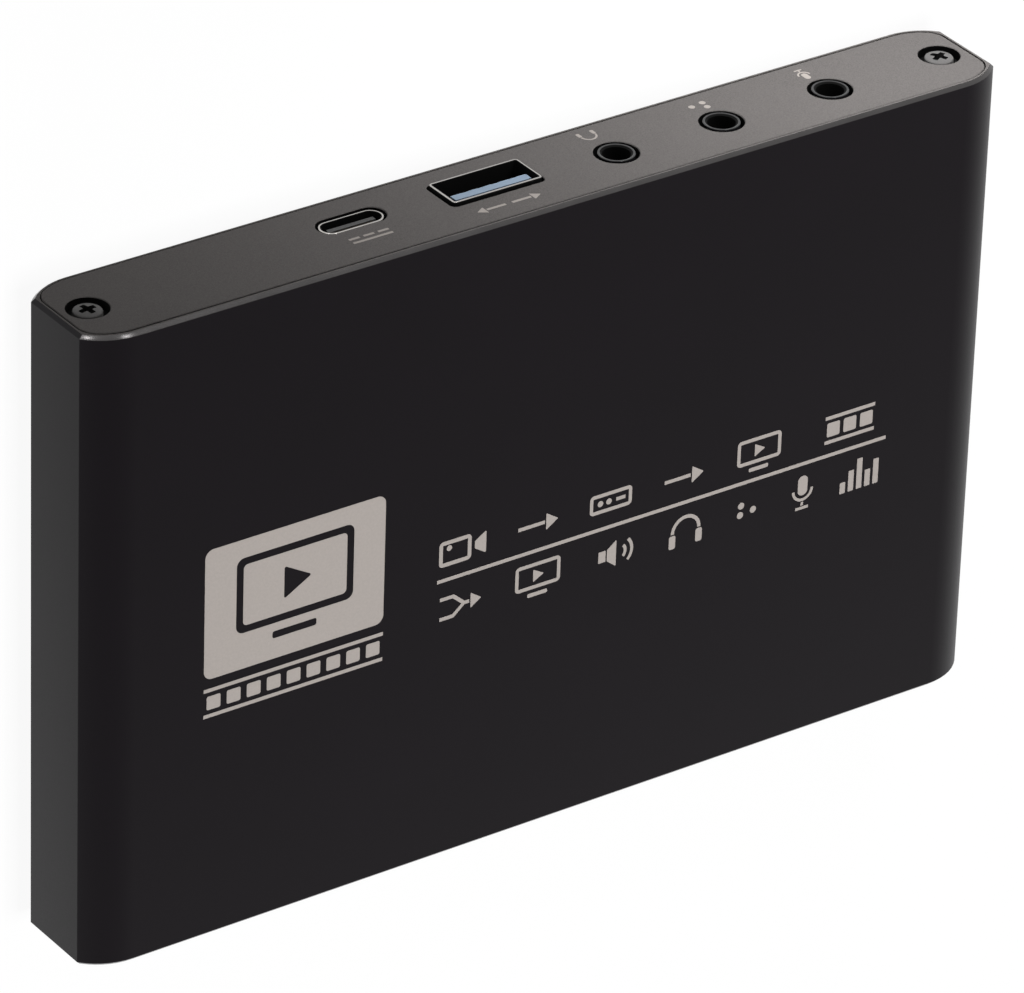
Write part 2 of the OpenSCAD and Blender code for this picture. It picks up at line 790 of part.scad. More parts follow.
// A jack's moulded body: block, nose, guiding bore and contact chamber
module jack_body() {
    bore_r = jack_bore_d / 2;
    difference() {
        union() {
            block(jack_w, -jack_back, -jack_front, 0, jack_axis + jack_top);
            translate([0, 0, jack_axis]) along_y(-jack_front - over, 0) circle(d = nose_d);
        }
        translate([0, 0, jack_axis]) {
            along_y(-jack_guide_l - over, over) circle(bore_r);
            turned([
                [0, -jack_lead], [bore_r, -jack_lead], [bore_r + jack_lead, 0],
                [bore_r + jack_lead, over], [0, over]
            ]);
            along_y(-jack_back + chamber_wall, -jack_guide_l) circle(d = chamber_d);
            for (turn = [0, 90, 180]) rotate([0, turn, 0])
                translate([-spring_r - spring_t / 2, 0, 0])
                    block(
                        spring_t + 2 * fit_gap, -jack_back - over, -jack_back + chamber_wall + over,
                        -spring_w / 2 - fit_gap, spring_w / 2 + fit_gap
                    );
        }
    }
}

// A jack's springs: one on each side of the plug's path and one above it, each with a tail to the board
module jack_springs() {
    start = jack_guide_l + spring_w;
    for (turn = [0, 90, 180]) translate([0, 0, jack_axis]) rotate([0, turn, 0])
        translate([-spring_r - spring_t / 2, 0, 0])
            block(spring_t, -jack_back - tail_l, -start, -spring_w / 2, spring_w / 2);
    for (s = [-1, 1]) translate([s * (spring_r + spring_t / 2), 0, 0])
        block(spring_t, -jack_back - tail_l, -jack_back - fit_gap, -board_t - leg_out, jack_axis);
    block(
        spring_w, -jack_back - tail_l, -jack_back - tail_l + spring_t,
        -board_t - leg_out, jack_axis + spring_r + spring_t
    );
}

// Slots in the board for a jack's tails
module tail_slots() {
    translate([0, -jack_back - tail_l, 0]) {
        for (s = [-1, 1]) translate([s * (spring_r + spring_t / 2), 0, 0])
            block(spring_t + 2 * hole_gap, -hole_gap, tail_l + hole_gap, -board_t - over, over);
        block(spring_w + 2 * hole_gap, -hole_gap, spring_t + hole_gap, -board_t - over, over);
    }
}

module headphone_jack_body() {
    color("#19191a") at_rear(headphone_x) jack_body();
}

module headphone_jack_springs() {
    color("#c9c7c4") at_rear(headphone_x) jack_springs();
}

module line_jack_body() {
    color("#19191a") at_rear(line_x) jack_body();
}

module line_jack_springs() {
    color("#c9c7c4") at_rear(line_x) jack_springs();
}

module microphone_jack_body() {
    color("#19191a") at_rear(microphone_x) jack_body();
}

module microphone_jack_springs() {
    color("#c9c7c4") at_rear(microphone_x) jack_springs();
}

module video_shell() {
    translate([0, 0, video_mid]) along_y(-video_l, 0) difference() {
        polygon(video_points(0));
        polygon(video_points(shell_t));
    }
    legs(video_w, leg_rows(video_l, video_proud), video_mid);
}

// Height of a video contact: odd places lie above the tongue and even ones below it
function video_pin_z(i) =
    video_mid + (i % 2 == 0 ? video_tongue_t / 2 : -video_tongue_t / 2 - strip_t);

function video_pin_x(i) = (i - (video_pins - 1) / 2) * video_pitch;

module video_insulator() {
    back = video_l + insulator_back;
    difference() {
        union() {
            translate([0, 0, video_mid]) along_y(-back, -video_l + video_plug_l)
                polygon(video_points(shell_t + fit_gap));
            block(
                video_tongue_w, -video_l + video_plug_l - over, -video_tip,
                video_mid - video_tongue_t / 2, video_mid + video_tongue_t / 2
            );
        }
        for (i = [0:video_pins - 1])
            contact_groove(video_pin_x(i), video_pin_w, back, video_pin_z(i));
    }
}

module video_contacts() {
    tip = video_tip + video_pin_w;
    back = video_l + insulator_back;
    for (i = [0:video_pins - 1])
        contact(video_pin_x(i), video_pin_w, tip, back, video_pin_z(i));
}

module video_in_1_shell() {
    color("#c9c7c4") at_front(video_in_1_x, video_proud) video_shell();
}

module video_in_1_insulator() {
    color("#1b1b1d") at_front(video_in_1_x, video_proud) video_insulator();
}

module video_in_1_contacts() {
    color("#c8a24a") at_front(video_in_1_x, video_proud) video_contacts();
}

module video_in_2_shell() {
    color("#c9c7c4") at_front(video_in_2_x, video_proud) video_shell();
}

module video_in_2_insulator() {
    color("#1b1b1d") at_front(video_in_2_x, video_proud) video_insulator();
}

module video_in_2_contacts() {
    color("#c8a24a") at_front(video_in_2_x, video_proud) video_contacts();
}

module video_out_shell() {
    color("#c9c7c4") at_front(video_out_x, video_proud) video_shell();
}

module video_out_insulator() {
    color("#1b1b1d") at_front(video_out_x, video_proud) video_insulator();
}

module video_out_contacts() {
    color("#c8a24a") at_front(video_out_x, video_proud) video_contacts();
}

// Places a piece on the button's axis
module on_button_axis() {
    at_front(button_x) translate([0, 0, button_axis]) children();
}

module select_button() {
    r = button_d / 2;
    color("#2a2a2b") on_button_axis() turned([
        [0, -flange_back], [flange_d / 2, -flange_back], [flange_d / 2, -flange_back + flange_t],
        [r, -flange_back + flange_t], [r, button_proud - button_chamfer],
        [r - button_chamfer, button_proud], [0, button_proud]
    ]);
}

module switch_plunger() {
    collar_front = housing_front + fit_gap;
    nub_back = dome_seat - dome_h - fit_gap;
    color("#b9482f") on_button_axis() turned([
        [0, -nub_back], [nub_d / 2, -nub_back], [nub_d / 2, -collar_front - collar_t],
        [collar_d / 2, -collar_front - collar_t], [collar_d / 2, -collar_front],
        [plunger_d / 2, -collar_front], [plunger_d / 2, -flange_back], [0, -flange_back]
    ]);
}

module switch_dome() {
    color("#c9c7c4") on_button_axis() translate([0, -dome_seat + dome_h - dome_r, 0]) difference() {
        intersection() {
            sphere(dome_r);
            along_y(dome_r - dome_h, dome_r + over) circle(d = dome_d + over);
        }
        sphere(dome_r - dome_t);
    }
}

module switch_cover() {
    color("#bdbbb8") at_front(button_x) difference() {
        block(switch_w, -housing_front, -cover_front, 0, button_axis + switch_w / 2);
        translate([0, 0, button_axis]) along_y(-housing_front - over, -cover_front + over)
            circle(d = plunger_d + 2 * plunger_gap);
    }
}

module switch_housing() {
    color("#1d1d1e") at_front(button_x) difference() {
        block(switch_w, -housing_back, -housing_front, 0, button_axis + switch_w / 2);
        translate([0, 0, button_axis]) along_y(-dome_seat, -housing_front + over) circle(d = switch_bore_d);
    }
}

module switch_pins() {
    color("#bdbbb8") at_front(button_x) for (s = [-1, 1])
        translate([s * pin_pitch / 2, -(housing_front + housing_back) / 2, 0])
            block(pin_w, -shell_t / 2, shell_t / 2, -board_t - leg_out, 0);
}

// Slots in the board for the switch's pins
module pin_slots() {
    half = shell_t / 2 + hole_gap;
    for (s = [-1, 1])
        translate([s * pin_pitch / 2, -(housing_front + housing_back) / 2, 0])
            block(pin_w + 2 * hole_gap, -half, half, -board_t - over, over);
}

// Light windows on one moulded bar, each with a leg down to its lamp
module light_pipe() {
    bar_w = (light_count - 1) * light_pitch + bar_h;
    color("#d8dde0") {
        for (x = light_places) at_front(x) {
            translate([0, 0, button_axis]) along_y(-bar_front - over, light_proud) circle(d = light_d);
            block(light_d, -bar_front - bar_t, -bar_front, led_h + led_gap, button_axis);
        }
        at_front(light_x + (light_count - 1) * light_pitch / 2)
            block(bar_w, -bar_front - bar_t, -bar_front, button_axis - bar_h / 2, button_axis + bar_h / 2);
    }
}

module indicator_leds() {
    lamp_y = -bar_front - bar_t / 2;
    color("#e8e6d8") for (x = light_places)
        at_front(x) block(led_w, lamp_y - led_l / 2, lamp_y + led_l / 2, 0, led_h);
}

// Places a piece on the board's face
module on_board(pos) {
    translate([pos[0], pos[1], board_top]) children();
}

// Number of leads that fit along a chip's side
function lead_count(side) = floor((side - 2 * lead_pitch) / lead_pitch) + 1;

// A row of leads along the side of a chip at a distance from its middle, bent down to the board
module lead_row(side, edge, h) {
    bend = edge + lead_l / 2;
    leads = lead_count(side);
    for (i = [0:leads - 1]) translate([(i - (leads - 1) / 2) * lead_pitch, 0, 0]) {
        block(lead_w, edge - lead_t, bend, h / 2 - lead_t, h / 2);
        block(lead_w, bend - lead_t, bend, 0, h / 2);
        block(lead_w, bend - lead_t, edge + lead_l, 0, lead_t);
    }
}

// A chip's moulded package, which stands clear of the board by a lead's thickness
module package(w, l, h) {
    block(w, -l / 2, l / 2, lead_t, h);
}

// A square chip with leads on all four sides
module flat_chip(side) {
    package(side, side, flat_chip_h);
    for (turn = [0:90:270]) rotate(turn) lead_row(side, side / 2, flat_chip_h);
}

module capture_chip() {
    half = capture_side / 2;
    color("#26272a") on_board(capture_pos) block(capture_side, -half, half, 0, capture_h);
}

module thermal_pad() {
    color("#8fa3b5") on_board(capture_pos)
        block(capture_side, -capture_side / 2, capture_side / 2, capture_h, capture_h + pad_t);
}

module heat_sink() {
    base_z = capture_h + pad_t;
    gap = (sink_side - fin_t) / (fin_count - 1);
    color("#3a3c40") on_board(capture_pos) {
        block(sink_side, -sink_side / 2, sink_side / 2, base_z, base_z + sink_base_t);
        for (i = [0:fin_count - 1])
            translate([-sink_side / 2 + i * gap, -sink_side / 2, base_z])
                cube([fin_t, sink_side, sink_base_t + fin_h]);
    }
}

module video_switch_chip() {
    color("#26272a") on_board(video_switch_pos) flat_chip(video_switch_side);
}

module audio_chip() {
    color("#26272a") on_board(audio_pos) flat_chip(audio_side);
}

module memory_chip() {
    color("#26272a") on_board(memory_pos) block(memory_w, -memory_l / 2, memory_l / 2, 0, memory_h);
}

module firmware_chip() {
    color("#26272a") on_board(firmware_pos) {
        package(firmware_w, firmware_l, firmware_h);
        for (turn = [0, 180]) rotate(turn) lead_row(firmware_w, firmware_l / 2, firmware_h);
    }
}

module crystal() {
    color("#c4c4c2") on_board(crystal_pos) rotate(90) linear_extrude(crystal_h) stadium(crystal_l, crystal_w);
}

module power_inductors() {
    half = inductor_side / 2;
    color("#4a4a4c") for (i = [0:inductor_count - 1])
        on_board(inductor_pos + [i * inductor_pitch, 0])
            linear_extrude(inductor_h) cut_rectangle(half, half, inductor_cut);
}

module bulk_capacitors() {
    color("#b4b4b6") for (i = [0:bulk_count - 1]) on_board(bulk_pos + [i * bulk_pitch, 0]) {
        linear_extrude(bulk_foot_t) square(bulk_foot, center = true);
        cylinder(d = bulk_d, h = bulk_h);
    }
}

module ceramic_capacitors() {
    row_y = sink_side / 2 + ceramic_gap;
    color("#b59a6d") for (turn = [0, 180], i = [0:ceramic_count - 1])
        on_board(capture_pos) rotate(turn)
            translate([(i - (ceramic_count - 1) / 2) * ceramic_pitch, 0, 0])
                block(ceramic_w, row_y, row_y + ceramic_l, 0, ceramic_h);
}

module circuit_board() {
    color("#1f5a3a") difference() {
        translate([-board_w / 2, -board_l / 2, board_z]) cube([board_w, board_l, board_t]);
        at_rear(power_x, -power_sink) leg_slots(power_w, leg_rows(power_l, -power_sink));
        at_rear(data_x, data_proud) leg_slots(data_w, leg_rows(data_l, data_proud));
        for (x = [headphone_x, line_x, microphone_x]) at_rear(x) tail_slots();
        for (x = [video_in_1_x, video_in_2_x, video_out_x])
            at_front(x, video_proud) leg_slots(video_w, leg_rows(video_l, video_proud));
        at_front(button_x) pin_slots();
    }
}

case_tube();
rear_plate();
front_plate();
plate_screws();
circuit_board();
power_socket_shell();
power_socket_insulator();
power_socket_contacts();
data_socket_shell();
data_socket_insulator();
data_socket_contacts();
headphone_jack_body();
headphone_jack_springs();
line_jack_body();
line_jack_springs();
microphone_jack_body();
microphone_jack_springs();
video_in_1_shell();
video_in_1_insulator();
video_in_1_contacts();
video_in_2_shell();
video_in_2_insulator();
video_in_2_contacts();
video_out_shell();
video_out_insulator();
video_out_contacts();
select_button();
switch_plunger();
switch_dome();
switch_cover();
switch_housing();
switch_pins();
light_pipe();
indicator_leds();
capture_chip();
thermal_pad();
heat_sink();
video_switch_chip();
audio_chip();
memory_chip();
firmware_chip();
crystal();
power_inductors();
bulk_capacitors();
ceramic_capacitors();
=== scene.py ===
"""Dresses a video capture box: its case, end plates, sockets, jacks, button, screws, marks and finishes."""

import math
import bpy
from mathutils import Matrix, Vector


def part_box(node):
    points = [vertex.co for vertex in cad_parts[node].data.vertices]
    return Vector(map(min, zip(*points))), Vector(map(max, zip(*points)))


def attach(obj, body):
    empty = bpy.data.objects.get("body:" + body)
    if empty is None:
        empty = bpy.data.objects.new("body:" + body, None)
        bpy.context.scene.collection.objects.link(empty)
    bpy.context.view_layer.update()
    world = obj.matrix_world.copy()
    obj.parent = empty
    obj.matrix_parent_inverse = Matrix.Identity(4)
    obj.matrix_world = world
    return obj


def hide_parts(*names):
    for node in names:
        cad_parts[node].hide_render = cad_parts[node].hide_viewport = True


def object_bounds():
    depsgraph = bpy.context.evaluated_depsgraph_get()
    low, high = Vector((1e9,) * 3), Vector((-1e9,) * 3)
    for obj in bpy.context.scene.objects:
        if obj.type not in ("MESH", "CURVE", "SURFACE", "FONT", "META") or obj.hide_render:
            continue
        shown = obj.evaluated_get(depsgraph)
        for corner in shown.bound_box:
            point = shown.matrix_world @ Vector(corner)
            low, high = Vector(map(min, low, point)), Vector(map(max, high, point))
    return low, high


bl_info = {
    "name": "Video Capture Box",
    "version": (1, 0, 0),
    "blender": (4, 5, 0),
    "location": "3D View > Sidebar > Capture Box",
    "description": "Dresses the packed frame of a two-in, one-out video capture box",
    "category": "Add Mesh",
}

import bmesh
import bpy
from bpy.props import FloatProperty, FloatVectorProperty, PointerProperty
from mathutils import Matrix, Vector

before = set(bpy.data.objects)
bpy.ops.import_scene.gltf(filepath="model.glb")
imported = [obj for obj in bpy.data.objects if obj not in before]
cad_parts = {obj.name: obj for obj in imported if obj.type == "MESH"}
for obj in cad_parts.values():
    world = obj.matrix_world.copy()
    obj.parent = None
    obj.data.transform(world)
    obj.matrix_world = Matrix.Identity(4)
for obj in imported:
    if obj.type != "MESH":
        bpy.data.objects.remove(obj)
CAD_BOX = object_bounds()

# Box of each node that sets a size or a place here
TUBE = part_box("case_tube")
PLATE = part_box("rear_plate")
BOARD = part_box("circuit_board")
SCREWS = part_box("plate_screws")

# Bodies that the pieces ride on, and the names of the jacks
BODY = "box"
BUTTON_BODY = "button"
JACKS = ("headphone", "line", "microphone")

# A millimetre in metres, and how near two points are that join where mirrored halves meet
MM = 0.001
WELD = 1e-7

# How finely round stretches are drawn, and which edges stay sharp
ARC_STEP = math.radians(7.5)
ARC_LEAST = 3
ROUND_SIDES = 72
HEAD_SIDES = 48
SMALL_SIDES = 32
SOFT_STEPS = 3
SMOOTH_ANGLE = math.radians(28)

# Two loops that lie this near to one plane, in millimetres, are moved apart while they are bridged
BRIDGE_FLAT = 0.01
BRIDGE_APART = (5, 5, 5)

# Lean of a chamfer's face to the side, past which it lies along a narrow side, where it is left black as
# painted shade
SHADED_SIDE_LEAN = 0.62

# Largest corner of a can as a share of half its height, which leaves a short straight edge
FULL_ROUND = 0.999

# Steps of the button's dish, as shares of the cap's radius and of the dish's depth
DISH_STEPS = ((0.82, 0.0), (0.6, 0.6), (0.3, 0.95), (0.1, 1.0))

# Bottom of a screw's recess and the ring round its mouth, as shares of the mouth
RECESS_TAPER = 0.62
RECESS_RING = 1.12

# End, side and turn in degrees of each screw's cross
SCREW_TURNS = ((1, 1, 26), (1, -1, 8), (-1, 1, 70), (-1, -1, 40))

# Middle of a noise's range, and the heights of a ray between which the sky darkens
NOISE_SPAN = (0.3, 0.7)
SKY_SPAN = (0.1, 0.75)


# Settings

def length(label, description, metres):
    """A size that a user can change, in metres."""
    return FloatProperty(
        name=label, description=description, default=metres, min=0.0, precision=5,
        unit="LENGTH", subtype="DISTANCE",
    )


def tint(label, description, red, green, blue):
    """A colour that a user can change."""
    return FloatVectorProperty(
        name=label, description=description, default=(red, green, blue), size=3,
        min=0.0, max=1.0, subtype="COLOR",
    )


def factor(label, description, value):
    """A plain number that a user can change."""
    return FloatProperty(name=label, description=description, default=value, min=0.0)


def swing(label, description, degrees):
    """An angle that a user can change, given here in degrees."""
    return FloatProperty(
        name=label, description=description, default=math.radians(degrees), subtype="ANGLE",
    )


def optic(label, description, millimetres):
    """A size of the camera's, in millimetres."""
    return FloatProperty(name=label, description=description, default=millimetres, min=1.0, unit="CAMERA")


def watts(label, description, power):
    """A lamp's strength."""
    return FloatProperty(name=label, description=description, default=power, min=0.0, unit="POWER")


def spot(label, description, x, y, z):
    """A place in the shared frame, in metres."""
    return FloatVectorProperty(
        name=label, description=description, default=(x, y, z), size=3,
        unit="LENGTH", subtype="TRANSLATION",
    )


class CaseSettings(bpy.types.PropertyGroup):
    """Sizes of the extruded tube."""

    width: length("Width", "Across the two narrow sides", TUBE[1].x - TUBE[0].x)
    depth: length("Length", "From end to end", TUBE[1].y - TUBE[0].y)
    height: length("Height", "Across the two wide faces", TUBE[1].z - TUBE[0].z)
    edge_run: length("Edge run", "How far a rounded long edge reaches over a wide face", 6.3 * MM)
    edge_rise: length("Edge rise", "How far a rounded long edge reaches down a narrow side", 2.85 * MM)
    corner_round: length("Corner round", "Fillet between a long edge and a narrow side", 0.2 * MM)
    wall: length("Wall", "Thickness of the tube's wall", 1.4 * MM)
    lip: length("Lip", "Thickness of the wall round an end plate", 0.7 * MM)
    rim_chamfer: length("Rim chamfer", "Bright chamfer round the ends of the tube", 0.45 * MM)
    rim_soften: length("Rim soften", "Rounding of the chamfer's own edges", 0.03 * MM)
    # The grey band inside the mouth is painted light, lightening the gap line at the plate's edge
    painted_light_band: length("Rim band", "Grey band inside the mouth of the tube", 0.4 * MM)
    rail_grip: length("Rail grip", "How far a rail reaches over the board", 1.4 * MM)
    rail_wall: length("Rail wall", "Thickness of a rail over the board", 1.0 * MM)
    board_gap: length("Board gap", "Room round the board in its rails", 0.15 * MM)
    channel_radius: length("Channel radius", "Outside of a screw channel", 2.3 * MM)
    bore_radius: length("Bore radius", "Bore of a screw channel", 1.05 * MM)


class PlateSettings(bpy.types.PropertyGroup):
    """Sizes of the two end plates and of the holes in them."""

    thickness: length("Thickness", "Thickness of an end plate", PLATE[1].y - PLATE[0].y)
    gap: length("Gap", "Dark gap between a plate and the lip of the tube", 0.2 * MM)
    corner_round: length("Corner round", "Rounding of the plate's corners", 3.0 * MM)
    edge_break: length("Edge break", "Small chamfer on every outer edge", 0.1 * MM)
    sunk: length("Sunk", "How far a plate sits low in the tube's mouth", 0.06 * MM)
    askew: swing("Askew", "How far a plate sits turned in the tube's mouth", -0.08)
    socket_gap: length("Socket gap", "Room round a socket's can", 0.35 * MM)
    jack_hole: length("Jack hole", "Radius of the hole round a jack's nose", 2.9 * MM)
    button_hole: length("Button hole", "Radius of the hole round the button", 2.5 * MM)
    light_hole: length("Light hole", "Radius of the hole round a light", 1.0 * MM)
    light_pitch: length("Light pitch", "From one light to the next", 5.0 * MM)
    counterbore: length("Counterbore", "Radius of a screw's counterbore", 2.7 * MM)
    screw_hole: length("Screw hole", "Radius of a screw's hole", 1.15 * MM)


class SocketSettings(bpy.types.PropertyGroup):
    """Sizes of the sockets' sheet-metal cans."""

    power_height: length("Power height", "Height of the power socket's can", 3.26 * MM)
    data_height: length("Data height", "Height of the data socket's can", 5.72 * MM)
    data_round: length("Data round", "Corner radius of the data socket's can", 0.5 * MM)
    video_height: length("Video height", "Height of a video socket's can", 5.55 * MM)
    video_cut: length("Video cut", "Cut at a video socket's lower corners", 2.0 * MM)
    video_round: length("Video round", "Corner radius of a video socket's can", 0.2 * MM)
    sheet: length("Sheet", "Thickness of a can", 0.3 * MM)
    rim_round: length("Rim round", "Rounding of a can's rim", 0.1 * MM)
    leg_sheet: length("Leg sheet", "Thickness of a solder leg", 0.24 * MM)
    leg_width: length("Leg width", "Width of a solder leg", 1.0 * MM)
    leg_inset: length("Leg inset", "From a leg to the end of the board or the can", 1.2 * MM)


class JackSettings(bpy.types.PropertyGroup):
    """Sizes of the jacks' mouldings."""

    rise: length("Rise", "Height of the axis over the board", 4.65 * MM)
    nose_radius: length("Nose radius", "Radius of the nose", 2.375 * MM)
    nose_round: length("Nose round", "Rounding of the nose's rim", 0.12 * MM)
    lip_radius: length("Lip radius", "Radius of the bore at its mouth", 2.1 * MM)
    bore_radius: length("Bore radius", "Radius of the bore", 1.8 * MM)
    lead: length("Lead-in", "Depth of the slope at the bore's mouth", 0.2 * MM)
    guide: length("Guide", "Length of the bore", 6.0 * MM)
    chamber_radius: length("Chamber radius", "Radius of the contacts' chamber", 2.7 * MM)
    back_wall: length("Back wall", "Wall behind the chamber", 1.0 * MM)
    slot_radius: length("Slot radius", "From the axis to a spring's slot", 2.1 * MM)
    slot_width: length("Slot width", "Width of a spring's slot", 1.5 * MM)
    slot_height: length("Slot height", "Height of a spring's slot", 0.3 * MM)
    block_round: length("Block round", "Rounding of the block's long edges", 0.3 * MM)


class ButtonSettings(bpy.types.PropertyGroup):
    """Sizes of the select button's cap."""

    radius: length("Radius", "Radius of the cap", 2.3 * MM)
    flange: length("Flange", "Thickness of the flange behind the plate", 0.8 * MM)
    rim_round: length("Rim round", "Rounding of the cap's rim", 0.2 * MM)
    dish: length("Dish", "Depth of the finger's dish", 0.2 * MM)


class ScrewSettings(bpy.types.PropertyGroup):
    """Sizes of the pan-head screws."""

    middle: length("Middle", "From the middle of the case to a screw", SCREWS[1].x - 2.0 * MM)
    head_radius: length("Head radius", "Radius of the head", 1.85 * MM)
    head_height: length("Head height", "Height of the head", 1.2 * MM)
    dome_radius: length("Dome radius", "Radius of the domed top", 8.0 * MM)
    rim_round: length("Rim round", "Rounding of the head's rim", 0.16 * MM)
    shank_radius: length("Shank radius", "Radius of the shank", 1.0 * MM)
    shank_length: length("Shank length", "Length under the head", 8.0 * MM)
    recess_length: length("Recess length", "Length of the cross recess", 2.3 * MM)
    recess_width: length("Recess width", "Width of the cross recess", 0.75 * MM)
    recess_depth: length("Recess depth", "Depth of the cross recess", 0.7 * MM)
    recess_round: length("Recess round", "Rounding of the cross recess", 0.14 * MM)


class MarkSettings(bpy.types.PropertyGroup):
    """Thickness of the printed marks."""

    ink: length("Ink", "Thickness of the printed ink", 0.02 * MM)


class FinishSettings(bpy.types.PropertyGroup):
    """Colours of the finishes."""

    case: tint("Case", "Black anodising of the tube", 0.0034, 0.0021, 0.0035)
    rim: tint("Rims", "Machined chamfer round the ends of the tube", 0.095, 0.091, 0.091)
    plate: tint("Plates", "Grey anodising of the end plates", 0.156, 0.146, 0.142)
    # Painted shade for the walls of holes, gaps and recesses
    shade: tint("Shade", "Unlit walls of holes and gaps", 0.006, 0.006, 0.006)
    bare: tint("Bare metal", "Aluminium that shows through at worn edges", 0.30, 0.29, 0.28)
    ink: tint("Ink", "Silver-grey printed marks", 0.455, 0.413, 0.386)
    screw: tint("Screws", "Blackened steel of the screws", 0.150, 0.146, 0.144)
    board: tint("Board", "Solder mask of the circuit board", 0.012, 0.075, 0.030)
    tongue: tint("Data tongue", "Tongue of the data socket", 0.28, 0.38, 0.51)
    insulator: tint("Power tongue", "Insulator of the power socket", 0.06, 0.06, 0.06)
    moulding: tint("Mouldings", "Black plastic of the sockets and jacks", 0.012, 0.012, 0.013)
    plunger: tint("Plunger", "Plunger of the push switch", 0.36, 0.028, 0.022)
    nickel: tint("Nickel", "Plating of the sockets' cans", 0.46, 0.44, 0.42)
    gold: tint("Gold", "Plating of the contacts", 0.83, 0.60, 0.26)
    steel: tint("Steel", "Plated springs of the jacks and metal of the switch", 0.60, 0.60, 0.59)
    clear: tint("Clear", "Clear plastic of the light pipe", 0.92, 0.94, 0.95)
    bulb: tint("Bulbs", "Packages of the indicator lights", 0.72, 0.70, 0.62)
    epoxy: tint("Epoxy", "Packages of the chips", 0.016, 0.016, 0.018)
    pad: tint("Pad", "Thermal pad under the heat sink", 0.20, 0.21, 0.23)
    sink: tint("Heat sink", "Dark anodising of the heat sink", 0.020, 0.020, 0.021)
    tin: tint("Tin", "Cans of the crystal and the bulk capacitors", 0.66, 0.66, 0.66)
    ferrite: tint("Ferrite", "Bodies of the inductors", 0.075, 0.073, 0.070)
    ceramic: tint("Ceramic", "Bodies of the small capacitors", 0.33, 0.22, 0.12)


class StageSettings(bpy.types.PropertyGroup):
    """Floor, light and camera."""

    floor_size: length("Floor size", "Side of the floor", 4.0)
    floor_drop: length("Floor drop", "Gap between the floor and the object", 0.2 * MM)
    floor_grey: tint("Floor", "Paper of the floor, which glows up to white", 0.08, 0.08, 0.08)
    floor_glow: factor("Floor glow", "What the floor adds where it is seen", 0.93)
    key_power: watts("Key", "Large soft lamp overhead", 7.0)
    key_place: spot("Key place", "Place of the overhead lamp", 0.0, -0.05, 1.0)
    key_size: length("Key size", "Side of the overhead lamp", 0.25)
    front_power: watts("Front", "Soft lamp before the front plate", 3.6)
    front_place: spot("Front place", "Place of the lamp before the front plate", -0.10, -0.65, 0.06)
    front_size: length("Front size", "Side of the lamp before the front plate", 0.3)
    rear_power: watts("Rear", "Soft lamp behind the right end of the rear plate", 0.086)
    rear_place: spot("Rear place", "Place of the lamp behind the rear plate", 0.065, 0.16, 0.03)
    rear_size: length("Rear size", "Side of the lamp behind the rear plate", 0.05)
    rear_spread: swing("Rear spread", "Angle of the rear lamp's beam", 115)
    glint_power: watts("Glint", "Each of two small lamps that glint on the left end's rim", 0.17)
    glint_size: length("Glint size", "Side of a small lamp", 0.06)
    glint_left: spot("Left glint", "Place of the lamp that glints on the corner", -0.287, 0.474, 0.139)
    glint_right: spot("Right glint", "Place of the lamp that glints on the arc", 0.063, 0.439, 0.296)
    world_light: factor("World", "Even light from all round", 0.04)
    sky: factor("Sky", "Brightness of the world high up, where the horizon is white", 0.6)
    camera_place: spot("Camera place", "Where the camera stands", -0.518023, 0.506008, 0.725692)
    camera_turn: FloatVectorProperty(
        name="Camera turn", description="How the camera is turned", size=3, subtype="EULER",
        default=[math.radians(angle) for angle in (-30.99285, -34.81274, 2.05527)],
    )
    camera_lens: optic("Lens", "Focal length of the camera", 288.92)
    camera_sensor: optic("Sensor", "Width of the camera's sensor", 36.0)


class BoxSettings(bpy.types.PropertyGroup):
    """Everything about the capture box that can be changed."""

    case: PointerProperty(name="Case", description="Extruded tube", type=CaseSettings)
    plate: PointerProperty(name="Plates", description="End plates", type=PlateSettings)
    socket: PointerProperty(name="Sockets", description="Sheet-metal cans", type=SocketSettings)
    jack: PointerProperty(name="Jacks", description="Jack mouldings", type=JackSettings)
    button: PointerProperty(name="Button", description="Select button", type=ButtonSettings)
    screw: PointerProperty(name="Screws", description="End screws", type=ScrewSettings)
    mark: PointerProperty(name="Marks", description="Printed marks", type=MarkSettings)
    finish: PointerProperty(name="Finishes", description="Colours", type=FinishSettings)
    stage: PointerProperty(name="Stage", description="Floor, light and camera", type=StageSettings)


# Drawing loops of edges

def arc_steps(angle):
    """Number of edges in an arc."""
    return max(ARC_LEAST, math.ceil(abs(angle) / ARC_STEP - 0.01))


def swung(bm, parts, centre, angle):
    """Swings some parts about a centre in the XY plane, and returns where they end."""
    return bmesh.ops.spin(
        bm, geom=parts, cent=centre, axis=(0, 0, 1), dvec=(0, 0, 0), angle=angle,
        steps=arc_steps(angle), use_merge=False, use_normal_flip=False, use_duplicate=False,
    )["geom_last"]


def points_in(parts):
    """The vertices among some parts of a mesh."""
    return [part for part in parts if isinstance(part, bmesh.types.BMVert)]


